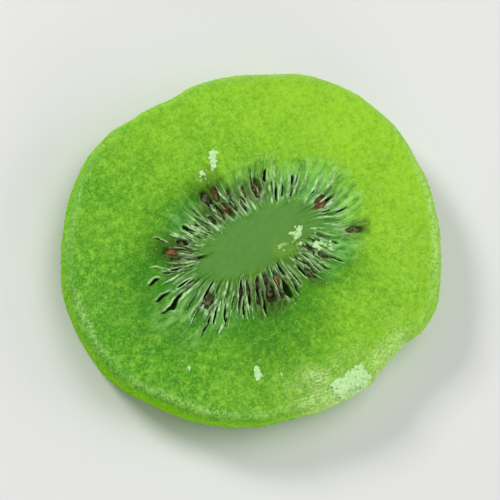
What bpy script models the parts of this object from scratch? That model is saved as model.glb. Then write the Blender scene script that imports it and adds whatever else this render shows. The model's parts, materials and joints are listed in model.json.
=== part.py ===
"""One candied, dried kiwi slice, lying on its flat underside with its better face up.

Metres, +Z up. The origin is on the surface that the slice lies on, under the middle of its outline.
+X runs along the slice's long axis, which is nearly that of the pale core in the middle.

The slice is one solid. A plain disc is turned from a profile, then drawn out to the uneven outline of
the fruit, with its oval core, the sunken band round it with thin walls that stand like spokes, the puffy
ring of flesh outside and the soft rim. Seeds and crumbs of sugar are joined to it.
"""

import bisect
import math
import random

import bmesh
import bpy
from mathutils import Matrix, Vector, noise

SLICE_NAME = "kiwi_slice"

# Overall size. The outline gives the distance from the origin to the rim, every 15 degrees from +X.
THICKNESS = 0.0066
OUTLINE_RADII = (
    0.0243, 0.0240, 0.0232, 0.0219, 0.0215, 0.0210, 0.0215, 0.0228,
    0.0231, 0.0235, 0.0241, 0.0244, 0.0244, 0.0231, 0.0226, 0.0219,
    0.0212, 0.0214, 0.0217, 0.0223, 0.0238, 0.0236, 0.0238, 0.0240,
)

# The core is an oval, a little off the middle and turned against the long axis.
CORE_CENTRE = Vector((0.0006, 0.0004, 0.0))
CORE_HALF_LENGTH = 0.0085
CORE_HALF_WIDTH = 0.0034
CORE_TURN = math.radians(-14.0)
CORE_SINK = 0.00045
CORE_CROWN = 0.0002

# The seed band lies round the core, and its thin walls stand like spokes, even along its middle line.
SEED_BAND = 0.0056
BAND_DEPTH = 0.0007
WALLS = 36
WALL_HEIGHT = 0.0006
WALL_SPREAD = 0.8
ARC_STEPS = 720

# The ring of flesh and the rim. On one side the rim's upper edge is worn down to a softer round, and
# beside that the side slopes in towards the underside.
FLESH_PUFF = 0.00035
RIM_ROUND = 0.0016
RIM_SQUARENESS = 0.62
RIM_LIFT = 0.0007
RIM_LIFT_START = 0.3
RIM_SLUMP = 0.00045
SLUMP_DIRECTION = math.radians(140.0)
SLUMP_SPREAD = math.radians(48.0)
UNDERCUT = 0.0007
UNDERCUT_DIRECTION = math.radians(190.0)
UNDERCUT_SPREAD = math.radians(60.0)
RIM_BUMPS = 0.00022
RIM_BUMP_SIZE = 0.0032
FACE_BUMPS = 0.00010

# The blank is the plain disc that the slice is drawn out from.
SEGMENTS = WALLS * 3
BLANK_CORE = 0.0060
BLANK_BAND = BLANK_CORE + SEED_BAND
BLANK_RIM = 0.0226
CORE_RINGS = 2
BAND_RINGS = 6
FLESH_RINGS = 3
RIM_RINGS = 8

# Seeds. They point at the core and lie half sunk between the walls, in crowds: the middle of each crowd
# round the band, its spread, and how far out it reaches, in degrees and metres.
SEED_LENGTH = 0.00205
SEED_WIDTH = 0.0011
SEED_DEPTH = 0.0008
SEED_SIDES = 6
SEED_RINGS = 4
FIRST_SEED = (0.0009, 0.0015)
SEED_STEPS = (0.0018, 0.0024)
SEED_PROUD = 0.0002
TOP_CROWDS = (
    (262.0, 21.0, 0.0056), (104.0, 22.0, 0.0052), (148.0, 17.0, 0.0046), (72.0, 14.0, 0.0036), (46.0, 12.0, 0.0019),
    (298.0, 20.0, 0.0046), (322.0, 14.0, 0.0024), (8.0, 14.0, 0.0018), (188.0, 12.0, 0.0027), (215.0, 12.0, 0.0030),
)
UNDER_CROWDS = ((90.0, 60.0, 0.0026), (270.0, 60.0, 0.0026), (0.0, 30.0, 0.0014), (180.0, 30.0, 0.0014))
TOP_SEED_DRAW = 11
UNDER_SEED_DRAW = 23

# A stretch of the rim is torn, and set in a little between two directions.
TORN_FROM = math.radians(268.0)
TORN_TO = math.radians(291.0)
TORN_STEP = math.radians(4.0)
TORN_BITE = 0.0006

# Sugar crumbs cake together beside the torn stretch. Others lie in clumps on the core's end and the flesh:
# where each clump is, how far it spreads and how many crumbs it has.
CRUMB_SIZE = 0.0015
CRUMB_FLATNESS = 0.45
CRUMB_DRAW = 5
CAKE_CRUMBS = 12
CAKE_FROM = math.radians(254.0)
CAKE_TO = math.radians(268.0)
CAKE_IN = (0.0010, 0.0026)
CLUMPS = (
    (0.0051, -0.0022, 0.0006, 3), (0.0061, -0.0049, 0.0005, 2), (0.0038, -0.0036, 0.0006, 2),
    (0.0036, 0.0114, 0.0004, 3), (0.0012, 0.0108, 0.0002, 1), (-0.0111, -0.0112, 0.0004, 2),
)
CLUMP_CRUMB_SHARE = 0.6

FLESH_COLOUR = (0.27, 0.56, 0.04, 1.0)
FLESH_ROUGHNESS = 0.45
SHARP_ANGLE = math.radians(60.0)


def smooth_step(low, high, value):
    """0 below low, 1 above high, and an even curve between them."""
    share = min(1.0, max(0.0, (value - low) / (high - low)))
    return share * share * (3.0 - 2.0 * share)


def hump(share):
    """0 at both ends of 0 to 1, and 1 in the middle."""
    return math.sin(math.pi * min(1.0, max(0.0, share))) ** 0.7


def bell(direction, middle, spread):
    """1 in a middle direction, falling off to both sides over the spread."""
    apart = (direction - middle + math.pi) % (2.0 * math.pi) - math.pi
    return math.exp(-((apart / spread) ** 2))


def outline_radius(direction):
    """Distance from the origin to the rim, on a smooth closed curve through OUTLINE_RADII."""
    count = len(OUTLINE_RADII)
    place = (direction / (2.0 * math.pi) % 1.0) * count
    index = int(place)
    share = place - index
    before, here, after, later = (OUTLINE_RADII[(index + step) % count] for step in (-1, 0, 1, 2))
    slope_here = (after - before) / 2.0
    slope_after = (later - here) / 2.0
    cubic = 2.0 * (here - after) + slope_here + slope_after
    square = 3.0 * (after - here) - 2.0 * slope_here - slope_after
    return ((cubic * share + square) * share + slope_here) * share + here - torn_bite(direction)


def torn_bite(direction):
    """How far the torn stretch of the rim is set in."""
    turn = direction % (2.0 * math.pi)
    begun = smooth_step(TORN_FROM, TORN_FROM + TORN_STEP, turn)
    ended = smooth_step(TORN_TO - TORN_STEP, TORN_TO, turn)
    return TORN_BITE * (begun - ended)


def arc_table():
    """The share of the band's middle line that is passed at each of ARC_STEPS angles."""
    long = CORE_HALF_LENGTH + SEED_BAND / 2.0
    short = CORE_HALF_WIDTH + SEED_BAND / 2.0
    table = [0.0]
    for step in range(ARC_STEPS):
        angle = 2.0 * math.pi * (step + 0.5) / ARC_STEPS
        table.append(table[-1] + math.hypot(long * math.sin(angle), short * math.cos(angle)))
    return [value / table[-1] for value in table]


ARC = arc_table()


def arc_angle(turn):
    """The angle that lies a share of the way round the band's middle line."""
    turn %= 1.0
    index = min(bisect.bisect_right(ARC, turn) - 1, ARC_STEPS - 1)
    share = (turn - ARC[index]) / (ARC[index + 1] - ARC[index])
    return 2.0 * math.pi * (index + share) / ARC_STEPS


def band_point(turn, out):
    """The point of the seed band a share of the way round, and out metres beyond the core's edge."""
    angle = arc_angle(turn)
    along = Vector(((CORE_HALF_LENGTH + out) * math.cos(angle), (CORE_HALF_WIDTH + out) * math.sin(angle), 0.0))
    return CORE_CENTRE + Matrix.Rotation(CORE_TURN, 3, "Z") @ along


def slice_point(radius, turn):
    """Where a point of the blank goes on the slice, seen from above."""
    if radius <= BLANK_CORE:
        return CORE_CENTRE.lerp(band_point(turn, 0.0), radius / BLANK_CORE)
    if radius <= BLANK_BAND:
        return band_point(turn, radius - BLANK_CORE)
    inner = band_point(turn, SEED_BAND)
    direction = math.atan2(inner.y, inner.x)
    reach = outline_radius(direction)
    rim = Vector((reach * math.cos(direction), reach * math.sin(direction), 0.0))
    return inner.lerp(rim, (radius - BLANK_BAND) / (BLANK_RIM - BLANK_BAND))


def wall_height(turn, out, side):
    """How far a spoke-like wall stands in the band, and how unevenly."""
    spoke = max(0.0, math.cos(2.0 * math.pi * WALLS * turn))
    round_band = 2.0 * math.pi * turn
    uneven = noise.noise(Vector((math.cos(round_band) * 4.0, math.sin(round_band) * 4.0, out * 300.0 + 7.0 * side)))
    return WALL_HEIGHT * spoke * (0.7 + WALL_SPREAD * uneven) * hump(out / SEED_BAND)


def face_height(radius, turn, side):
    """How far the face stands out from the flat plane it is cut to. side is 1 on top and -1 below, where
    nothing stands out past the flat ring that the slice lies on."""
    if radius <= BLANK_CORE:
        return CORE_CROWN * (1.0 - (radius / BLANK_CORE) ** 2) - CORE_SINK
    puff = FLESH_PUFF if side > 0 else 0.0
    if radius <= BLANK_BAND:
        out = radius - BLANK_CORE
        outward = smooth_step(0.0, SEED_BAND, out)
        edge = -CORE_SINK * (1.0 - outward) - puff * outward
        height = edge - BAND_DEPTH * hump(out / SEED_BAND) + wall_height(turn, out, side)
        return height if side > 0 else min(0.0, height)
    share = (radius - BLANK_BAND) / (BLANK_RIM - RIM_ROUND - BLANK_BAND)
    return -puff * (1.0 - hump(share))


def rim_lift(share, direction):
    """The dried rim curls up a little, more on some sides than on others."""
    uneven = 0.5 + 0.3 * math.cos(direction - 2.6) + 0.2 * math.cos(3.0 * direction + 0.8)
    return RIM_LIFT * uneven * smooth_step(RIM_LIFT_START, 1.0, share) ** 1.5


def rim_slump(share, direction):
    """How far the rim's upper edge is worn down, on the one side where it is."""
    return RIM_SLUMP * bell(direction, SLUMP_DIRECTION, SLUMP_SPREAD) * smooth_step(0.86, 1.0, share)


def undercut(share, direction, height):
    """How far the side and the underside are drawn in, on the one side where the rim slopes."""
    return UNDERCUT * bell(direction, UNDERCUT_DIRECTION, UNDERCUT_SPREAD) * share * (1.0 - height / THICKNESS)


def blank_profile():
    """(radius, height) pairs from the middle of the top, out and round the rim, to the middle below."""
    start = BLANK_RIM - RIM_ROUND
    radii = [BLANK_CORE * ring / CORE_RINGS for ring in range(CORE_RINGS)]
    radii += [BLANK_CORE + SEED_BAND * ring / BAND_RINGS for ring in range(BAND_RINGS)]
    radii += [BLANK_BAND + (start - BLANK_BAND) * ring / FLESH_RINGS for ring in range(FLESH_RINGS)]
    top = [(radius, THICKNESS) for radius in radii]
    rim = []
    for ring in range(RIM_RINGS + 1):
        turn = math.pi * (0.5 - ring / RIM_RINGS)
        round_out = RIM_ROUND * math.cos(turn) ** RIM_SQUARENESS
        up = math.copysign(abs(math.sin(turn)) ** RIM_SQUARENESS, turn)
        rim.append((start + round_out, THICKNESS / 2.0 * (1.0 + up)))
    under = [(radius, 0.0) for radius in reversed(radii)]
    return top + rim + under


def turned_blank(name):
    """The plain disc: the profile turned about +Z, with its poles and its seam closed."""
    profile = bpy.data.meshes.new(name)
    points = [(radius, 0.0, height) for radius, height in blank_profile()]
    profile.from_pydata(points, [(i, i + 1) for i in range(len(points) - 1)], [])
    blank = bpy.data.objects.new(name, profile)
    bpy.context.scene.collection.objects.link(blank)
    screw = blank.modifiers.new("turn", "SCREW")
    screw.axis = "Z"
    screw.steps = SEGMENTS
    screw.render_steps = SEGMENTS
    screw.use_merge_vertices = True
    screw.merge_threshold = 0.00001
    apply_modifiers(blank)
    return blank


def apply_modifiers(thing):
    """Gives the object the mesh that its modifiers make, and removes them."""
    evaluated = thing.evaluated_get(bpy.context.evaluated_depsgraph_get())
    finished = bpy.data.meshes.new_from_object(evaluated)
    thing.modifiers.clear()
    thing.data = finished


def draw_out(blank):
    """Moves each point of the blank to its place on the slice."""
    middle = THICKNESS / 2.0
    start = BLANK_RIM - RIM_ROUND
    for vertex in blank.data.vertices:
        x, y, z = vertex.co
        radius = math.hypot(x, y)
        turn = math.atan2(y, x) / (2.0 * math.pi) % 1.0
        place = slice_point(radius, turn)
        direction = math.atan2(place.y, place.x)
        side = 1 if z > middle else -1
        flat = 1.0 - smooth_step(start, BLANK_RIM, radius)
        share = max(0.0, (radius - BLANK_BAND) / (BLANK_RIM - BLANK_BAND))
        bump = noise.noise(place / RIM_BUMP_SIZE + Vector((0.0, 0.0, z / RIM_BUMP_SIZE)))
        rise = side * face_height(min(radius, start), turn, side) * flat + rim_lift(share, direction)
        if side > 0:
            rise += FACE_BUMPS * bump * share - rim_slump(share, direction)
        outward = RIM_BUMPS * bump * (1.0 - flat) - undercut(share, direction, z)
        vertex.co = place + place.normalized() * outward + Vector((0.0, 0.0, z + rise))


def seed_places(crowds, draw):
    """(share of the way round, distance out from the core, turn) of each seed on one face."""
    rule = random.Random(draw)
    places = []
    for chamber in range(WALLS):
        round_band = (chamber + 0.5) / WALLS
        angle = arc_angle(round_band)
        reach = max(high * bell(angle, math.radians(middle), math.radians(spread)) for middle, spread, high in crowds)
        out = rule.uniform(*FIRST_SEED)
        while out < reach:
            places.append((round_band, out, rule.gauss(0.0, 0.14)))
            out += rule.uniform(*SEED_STEPS)
    return places


def seed_shape():
    """A blunt drop along X with its point at -X, made once and shared by every seed."""
    shape = bmesh.new()
    bmesh.ops.create_uvsphere(shape, u_segments=SEED_SIDES, v_segments=SEED_RINGS, radius=0.5)
    bmesh.ops.rotate(shape, verts=shape.verts, matrix=Matrix.Rotation(math.pi / 2.0, 3, "Y"))
    for vertex in shape.verts:
        taper = 0.8 + 0.4 * vertex.co.x
        vertex.co.x *= SEED_LENGTH
        vertex.co.y *= SEED_WIDTH * taper
        vertex.co.z *= SEED_DEPTH * taper
    mesh = bpy.data.meshes.new("seed")
    shape.to_mesh(mesh)
    shape.free()
    return mesh


def crumb_shape():
    """A lump of sugar, wider than it is high."""
    shape = bmesh.new()
    bmesh.ops.create_icosphere(shape, subdivisions=1, radius=0.5)
    for vertex in shape.verts:
        vertex.co *= CRUMB_SIZE * (1.0 + 0.6 * noise.noise(vertex.co * 9.0))
        vertex.co.z *= CRUMB_FLATNESS
    mesh = bpy.data.meshes.new("crumb")
    shape.to_mesh(mesh)
    shape.free()
    return mesh


def lay(mesh, name, place, side, heading, proud, size, body, pieces):
    """Puts one small piece on a face, turned to its heading, and adds it to the pieces to be joined."""
    start = Vector((place.x, place.y, side * 2.0 * THICKNESS))
    bed = body.ray_cast(start, Vector((0.0, 0.0, -side)))[1]
    piece = bpy.data.objects.new(name, mesh)
    piece.location = bed + Vector((0.0, 0.0, side * proud))
    piece.rotation_euler = (0.0, 0.0, heading)
    piece.scale = (size, size, size)
    pieces.objects.link(piece)


def lay_seeds(body, pieces):
    """Seeds on both faces, each with its point towards the core."""
    mesh = seed_shape()
    faces = ((1, TOP_CROWDS, TOP_SEED_DRAW), (-1, UNDER_CROWDS, UNDER_SEED_DRAW))
    for side, crowds, draw in faces:
        for number, (turn, out, aside) in enumerate(seed_places(crowds, draw)):
            inner, outer = band_point(turn, 0.0), band_point(turn, out)
            heading = math.atan2(outer.y - inner.y, outer.x - inner.x) + aside
            name = f"seed_{'top' if side > 0 else 'under'}_{number}"
            size = 0.88 + 0.24 * (number * 0.618 % 1.0)
            lay(mesh, name, outer, side, heading, SEED_PROUD, size, body, pieces)


def lay_crumbs(body, pieces):
    """Sugar crumbs on top: a cake of them beside the torn stretch of the rim, and the clumps."""
    mesh = crumb_shape()
    rule = random.Random(CRUMB_DRAW)
    for number in range(CAKE_CRUMBS):
        direction = CAKE_FROM + (CAKE_TO - CAKE_FROM) * (number + 0.5) / CAKE_CRUMBS
        reach = outline_radius(direction) - rule.uniform(*CAKE_IN)
        place = Vector((reach * math.cos(direction), reach * math.sin(direction), 0.0))
        size = rule.uniform(0.75, 1.2)
        lay(mesh, f"cake_crumb_{number}", place, 1, rule.uniform(0.0, math.pi), 0.0, size, body, pieces)
    for clump, (x, y, spread, count) in enumerate(CLUMPS):
        for number in range(count):
            place = Vector((x + rule.gauss(0.0, spread), y + rule.gauss(0.0, spread), 0.0))
            size = CLUMP_CRUMB_SHARE * rule.uniform(0.8, 1.2)
            name = f"clump_{clump}_{number}"
            lay(mesh, name, place, 1, rule.uniform(0.0, math.pi), 0.0, size, body, pieces)


def join(body, pieces):
    """One solid of the slice and all that is laid on it."""
    union = body.modifiers.new("join", "BOOLEAN")
    union.operation = "UNION"
    union.operand_type = "COLLECTION"
    union.collection = pieces
    union.solver = "EXACT"
    apply_modifiers(body)
    for piece in list(pieces.objects):
        bpy.data.objects.remove(piece)
    bpy.data.collections.remove(pieces)


def centre_on_floor(body):
    """Puts the middle of the slice's box over the origin and its lowest points on the floor."""
    corners = [Vector(corner) for corner in body.bound_box]
    low = Vector(map(min, zip(*corners)))
    high = Vector(map(max, zip(*corners)))
    middle = (low + high) / 2.0
    body.data.transform(Matrix.Translation((-middle.x, -middle.y, -low.z)))


def flesh_material():
    """The translucent green of candied kiwi."""
    material = bpy.data.materials.new("flesh")
    material.use_nodes = True
    shader = material.node_tree.nodes["Principled BSDF"]
    shader.inputs["Base Color"].default_value = FLESH_COLOUR
    shader.inputs["Roughness"].default_value = FLESH_ROUGHNESS
    shader.inputs["Metallic"].default_value = 0.0
    return material


def new_collection(name):
    """A collection linked to the scene."""
    made = bpy.data.collections.new(name)
    bpy.context.scene.collection.children.link(made)
    return made


def main():
    for thing in list(bpy.data.objects):
        bpy.data.objects.remove(thing)
    slices = new_collection("dried_kiwi")
    pieces = new_collection("pieces_to_join")
    body = turned_blank(SLICE_NAME)
    draw_out(body)
    bpy.context.view_layer.update()
    lay_seeds(body, pieces)
    lay_crumbs(body, pieces)
    bpy.context.view_layer.update()
    join(body, pieces)
    centre_on_floor(body)
    body.data.materials.clear()
    body.data.materials.append(flesh_material())
    body.data.shade_smooth()
    body.data.set_sharp_from_angle(angle=SHARP_ANGLE)
    bpy.context.scene.collection.objects.unlink(body)
    slices.objects.link(body)


main()
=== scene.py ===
"""A candied, dried kiwi slice: puffy translucent flesh with an uneven rim, a sunken band of seeds, thin
walls and threads round an oval core, and fine sugar over it all. Metres, +Z up, in the solid's frame."""

import bisect
import json
import math
import random
from itertools import accumulate

import bpy
import numpy as np
from mathutils import Euler, Matrix, Vector, noise
from mathutils.bvhtree import BVHTree
from mathutils.kdtree import KDTree

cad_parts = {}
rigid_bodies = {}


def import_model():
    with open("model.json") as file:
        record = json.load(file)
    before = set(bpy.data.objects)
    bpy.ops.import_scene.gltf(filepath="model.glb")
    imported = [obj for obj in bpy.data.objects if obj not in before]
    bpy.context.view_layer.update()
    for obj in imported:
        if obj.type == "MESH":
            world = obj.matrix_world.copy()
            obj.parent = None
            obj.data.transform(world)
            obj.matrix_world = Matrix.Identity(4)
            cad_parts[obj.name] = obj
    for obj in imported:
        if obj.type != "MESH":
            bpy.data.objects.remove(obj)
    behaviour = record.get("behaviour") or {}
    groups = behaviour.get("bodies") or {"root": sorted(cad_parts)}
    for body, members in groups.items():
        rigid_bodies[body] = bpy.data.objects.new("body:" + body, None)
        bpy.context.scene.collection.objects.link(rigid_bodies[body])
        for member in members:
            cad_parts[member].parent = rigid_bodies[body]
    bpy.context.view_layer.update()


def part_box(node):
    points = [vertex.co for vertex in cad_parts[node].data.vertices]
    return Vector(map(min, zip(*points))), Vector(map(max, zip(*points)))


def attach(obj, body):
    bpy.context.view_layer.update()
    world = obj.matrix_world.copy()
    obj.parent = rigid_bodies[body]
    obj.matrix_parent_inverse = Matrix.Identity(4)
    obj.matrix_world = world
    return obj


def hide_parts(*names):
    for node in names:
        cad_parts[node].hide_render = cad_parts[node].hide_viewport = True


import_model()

MM = 0.001
TURN = 2.0 * math.pi
SLICE = "kiwi_slice"
TOP = 1
UNDER = -1

# Where each run of random draws starts.
BAND_DRAWS = {TOP: 31, UNDER: 47}
SEED_DRAWS = {TOP: 11, UNDER: 23}
THREAD_DRAW = 7
GRAIN_DRAW = 3
CRUMB_DRAW = 19

# ---- Form: the solid's own sizes. The outline is the distance to the rim, every 15 degrees from +X.
THICKNESS = 6.6 * MM
OUTLINE = tuple(MM * reach for reach in (
    24.3, 24.0, 23.2, 21.9, 21.5, 21.0, 21.5, 22.8, 23.1, 23.5, 24.1, 24.4,
    24.4, 23.1, 22.6, 21.9, 21.2, 21.4, 21.7, 22.3, 23.8, 23.6, 23.8, 24.0,
))
CORE_CENTRE = Vector((0.6 * MM, 0.4 * MM, 0.0))
CORE_HALF_LENGTH = 8.5 * MM
CORE_HALF_WIDTH = 3.4 * MM
CORE_TURN = math.radians(-14.0)
CORE_SINK = 0.45 * MM
CORE_CROWN = 0.2 * MM
SEED_BAND = 5.6 * MM
BAND_DEPTH = 0.55 * MM
FLESH_PUFF = 0.35 * MM
RIM_ROUND = 1.6 * MM
RIM_SQUARENESS = 0.62
RIM_LIFT = 0.7 * MM
RIM_LIFT_START = 0.3
RIM_WAVES = ((1, -2.6, 0.3), (3, 0.8, 0.2))
TORN_FROM = math.radians(268.0)
TORN_TO = math.radians(291.0)
TORN_STEP = math.radians(4.0)
TORN_BITE = 0.6 * MM
RIM_SLUMP = 0.45 * MM
SLUMPED = ((140, 48, 1),)
UNDERCUT = 0.7 * MM
UNDERCUT_AT = ((190, 60, 1),)

# ---- Form: what only the finished surface has.
RIM_BUMPS = 0.22 * MM
RIM_BUMP_SIZE = 3.2 * MM
SWELLS = 0.12 * MM
SWELL_SIZE = 4.0 * MM
GRAINS = 0.035 * MM
GRAIN_SIZE = 0.8 * MM
RAGGED = 0.34 * MM
RAGGED_SIZE = 0.9 * MM
CORE_RAGGED = 0.7 * MM
# A painted highlight along the rim's crest, its width and how far out, and frost with a painted sheen along
# the rim's edge; the rows give a direction in degrees, the spread and how much.
CREST_HIGHLIGHT_WIDTH = 0.45 * MM
CREST_HIGHLIGHT_OUT = 0.65 * MM
RIM_FROST_AND_SHEEN_AT = ((126, 34, 0.35), (40, 36, 0.5), (358, 20, 0.35), (330, 24, 0.3))
CREST_HIGHLIGHTS = ((324, 25, 0.75), (164, 11, 0.6), (205, 30, 0.4))

# ---- The blank: a plain turned disc, which is then drawn out to the slice.
SPOKES = 640
BLANK_CORE = 6.0 * MM
BLANK_BAND = BLANK_CORE + SEED_BAND
BLANK_RIM = 22.6 * MM
BLANK_FLAT = BLANK_RIM - RIM_ROUND
TOP_RINGS = {"core": 12, "band": 44, "flesh": 34}
UNDER_RINGS = {"core": 5, "band": 14, "flesh": 9}
RIM_RINGS = 26


def between(least, most, share):
    """What lies a share of the way from least to most."""
    return least + (most - least) * share


def smooth_step(low, high, value):
    """0 below low, 1 above high, and an even curve between them."""
    share = min(1.0, max(0.0, (value - low) / (high - low)))
    return share * share * (3.0 - 2.0 * share)


def fade(low, high, value):
    """1 below low, 0 above high, and an even curve between them."""
    return 1.0 - smooth_step(low, high, value)


def hump(share):
    """0 at both ends of 0 to 1, and 1 in the middle."""
    return math.sin(math.pi * min(1.0, max(0.0, share))) ** 0.7


def bell(turn, middle, spread):
    """1 at an angle's middle, falling off to both sides over the spread."""
    apart = (turn - middle + math.pi) % TURN - math.pi
    return math.exp(-((apart / spread) ** 2))


def bells(turn, rows):
    """The highest of several bells, each a middle and a spread in degrees, and a height."""
    return max(high * bell(turn, math.radians(middle), math.radians(spread)) for middle, spread, high in rows)


def ripple(place, size, seed=0.0):
    """Smooth noise of about -1 to 1 with bumps of one size."""
    return noise.noise(Vector((place[0] / size, place[1] / size, place[2] / size + seed)))


def torn_share(direction):
    """1 along the torn stretch of the rim, and 0 elsewhere."""
    turn = direction % TURN
    begun = smooth_step(TORN_FROM, TORN_FROM + TORN_STEP, turn)
    return begun - smooth_step(TORN_TO - TORN_STEP, TORN_TO, turn)


def outline_radius(direction):
    """Distance from the origin to the rim, on a smooth closed curve through OUTLINE."""
    count = len(OUTLINE)
    place = (direction / TURN % 1.0) * count
    index = int(place)
    share = place - index
    before, here, after, later = (OUTLINE[(index + step) % count] for step in (-1, 0, 1, 2))
    slope_here = (after - before) / 2.0
    slope_after = (later - here) / 2.0
    cubic = 2.0 * (here - after) + slope_here + slope_after
    square = 3.0 * (after - here) - 2.0 * slope_here - slope_after
    return ((cubic * share + square) * share + slope_here) * share + here - TORN_BITE * torn_share(direction)


# ---- Places on the slice. Spokes are even along the middle line of the seed band, not by angle.
ARC_STEPS = 720


def arc_table():
    """The share of the band's middle line passed at each of ARC_STEPS angles, and the line's length."""
    long = CORE_HALF_LENGTH + SEED_BAND / 2.0
    short = CORE_HALF_WIDTH + SEED_BAND / 2.0
    table = [0.0]
    for step in range(ARC_STEPS):
        angle = TURN * (step + 0.5) / ARC_STEPS
        pace = math.hypot(long * math.sin(angle), short * math.cos(angle))
        table.append(table[-1] + pace * TURN / ARC_STEPS)
    return [value / table[-1] for value in table], table[-1]


ARC, BAND_LENGTH = arc_table()


def arc_angle(turn):
    """The angle that lies a share of the way round the band's middle line."""
    turn %= 1.0
    index = min(bisect.bisect_right(ARC, turn) - 1, ARC_STEPS - 1)
    return TURN * (index + (turn - ARC[index]) / (ARC[index + 1] - ARC[index])) / ARC_STEPS


def arc_turn(angle):
    """The share of the way round the band's middle line at which an angle lies."""
    place = angle / TURN * ARC_STEPS
    index = int(place)
    return ARC[index] + (ARC[index + 1] - ARC[index]) * (place - index)


def band_point(turn, out):
    """The point of the seed band a share of the way round, and out metres beyond the core's edge."""
    angle = arc_angle(turn)
    long, short = CORE_HALF_LENGTH + out, CORE_HALF_WIDTH + out
    unturned = Vector((long * math.cos(angle), short * math.sin(angle), 0.0))
    return CORE_CENTRE + Matrix.Rotation(CORE_TURN, 3, "Z") @ unturned


def slice_point(radius, turn):
    """Where a point of the blank goes on the slice, seen from above."""
    if radius <= BLANK_CORE:
        return CORE_CENTRE.lerp(band_point(turn, 0.0), radius / BLANK_CORE)
    if radius <= BLANK_BAND:
        return band_point(turn, radius - BLANK_CORE)
    inner = band_point(turn, SEED_BAND)
    direction = math.atan2(inner.y, inner.x)
    reach = outline_radius(direction)
    rim = Vector((reach * math.cos(direction), reach * math.sin(direction), 0.0))
    return inner.lerp(rim, (radius - BLANK_BAND) / (BLANK_RIM - BLANK_BAND))


def rim_lift(share, direction):
    """The dried rim curls up a little, more on some sides than on others."""
    uneven = sum((high * math.cos(times * direction + start) for times, start, high in RIM_WAVES), 0.5)
    return RIM_LIFT * uneven * smooth_step(RIM_LIFT_START, 1.0, share) ** 1.5


# ---- The seed band: chambers between thin walls, seeds that show through openings, and dark slits.
CHAMBERS = 46
CHAMBER_WIDTHS = (0.65, 1.35)
WALL_HEIGHT = 0.34 * MM
WALL_WIDTH = 0.18 * MM
FINGER_HEIGHT = 0.30 * MM
# A painted highlight along one side of each of the fan's fingers: how far from the crease and how wide.
FLANK_HIGHLIGHT = 0.28 * MM
FLANK_HIGHLIGHT_WIDTH = 0.10 * MM
BREAKS = 0.8 * MM
ROOTS = 0.9 * MM
ROOTED = 1.2 * MM
WALL_START = (-0.6 * MM, 0.8 * MM)
FADE_FROM = 0.3
TROUGH_START = 1.0 * MM
TROUGH_SHALLOWS = 0.6
# How pale each mark paints a place; lit is a painted highlight along one side of each slit.
PALENESS = {"wall": 1.3, "lip": 0.38, "fray": 0.5, "lit": 0.7}
SWAYS = ((1.0 * MM, 6.5 * MM), (0.32 * MM, 1.7 * MM), (0.05 * MM, 0.6 * MM))
SWAYS_FROM = 4.5 * MM
FACES_APART = 60.0 * MM
FRAY = 0.10 * MM
FRAY_SIZE = 0.34 * MM
LIP = 0.05 * MM
# The width of the painted highlight beside each slit, and of the painted shade in the fan's creases.
LIT_WIDTH = 0.08 * MM
VALLEY_WIDTH = 0.19 * MM
TORN_EDGES = 0.45
TORN_EDGE_SIZE = 0.38 * MM
SEED_LENGTH = 2.05 * MM
SEED_WIDTH = 1.25 * MM
SEED_DEPTH = 0.85 * MM
SEED_DENTS = 0.22
OPENING_DEPTH = 0.42 * MM
GAP_DEPTH = 0.62 * MM
BINS = 96
BIN_REACH = 1.2 * MM

# Round the band, in degrees from the core's +X end: the middle, the spread and how much there.
SEED_REACH = ((262, 20, 4.8), (100, 18, 4.6), (146, 16, 4.2), (76, 12, 3.2), (46, 12, 1.6), (296, 18, 4.2),
              (322, 14, 2.2), (8, 14, 1.6), (188, 12, 2.7), (118, 12, 2.4))
THREAD_FAN = ((208, 32, 1),)
PALE_THREADS = ((22, 38, 0.8), (214, 30, 0.2), (308, 24, 1.1), (150, 20, 0.7), (262, 20, 0.2), (124, 18, 1.3),
                (88, 20, 0.6))
MURK = ((262, 20, 1), (101, 16, 0.9), (152, 18, 0.95), (294, 14, 0.35), (75, 13, 0.8))
MURK_FURTHER = ((258, 18, 2.2),)
FEW_SLITS = ((8, 40, 1), (66, 14, 1))
FEATHERS = ((12, 50, 1), (70, 30, 0.6), (320, 34, 0.7), (208, 40, 0.34), (122, 16, 0.5))
DEEP_REACH = ((195, 55, 10.5), (256, 34, 10), (165, 30, 10), (125, 34, 6), (300, 26, 6.5))
DEEP_LEAST = 4.0 * MM

# What stands out on the better face, each in degrees round and millimetres out.
# Seeds: how much of it shows, and how red it is from 0 to 1.
PLAIN_SEEDS = ((3, 0.9, 0.95, 1), (143, 3.5, 0.95, 0.85), (326, 5, 0.45, 0), (94.5, 1.8, 0.95, 0.6),
               (99, 4.2, 0.85, 0.4), (105, 2.1, 0.85, 0.1), (75, 2.6, 0.9, 0.25), (264, 3, 0.95, 0.1),
               (213.5, 2.7, 0.8, 0.2), (155, 0.4, 0.6, 0))
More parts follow.
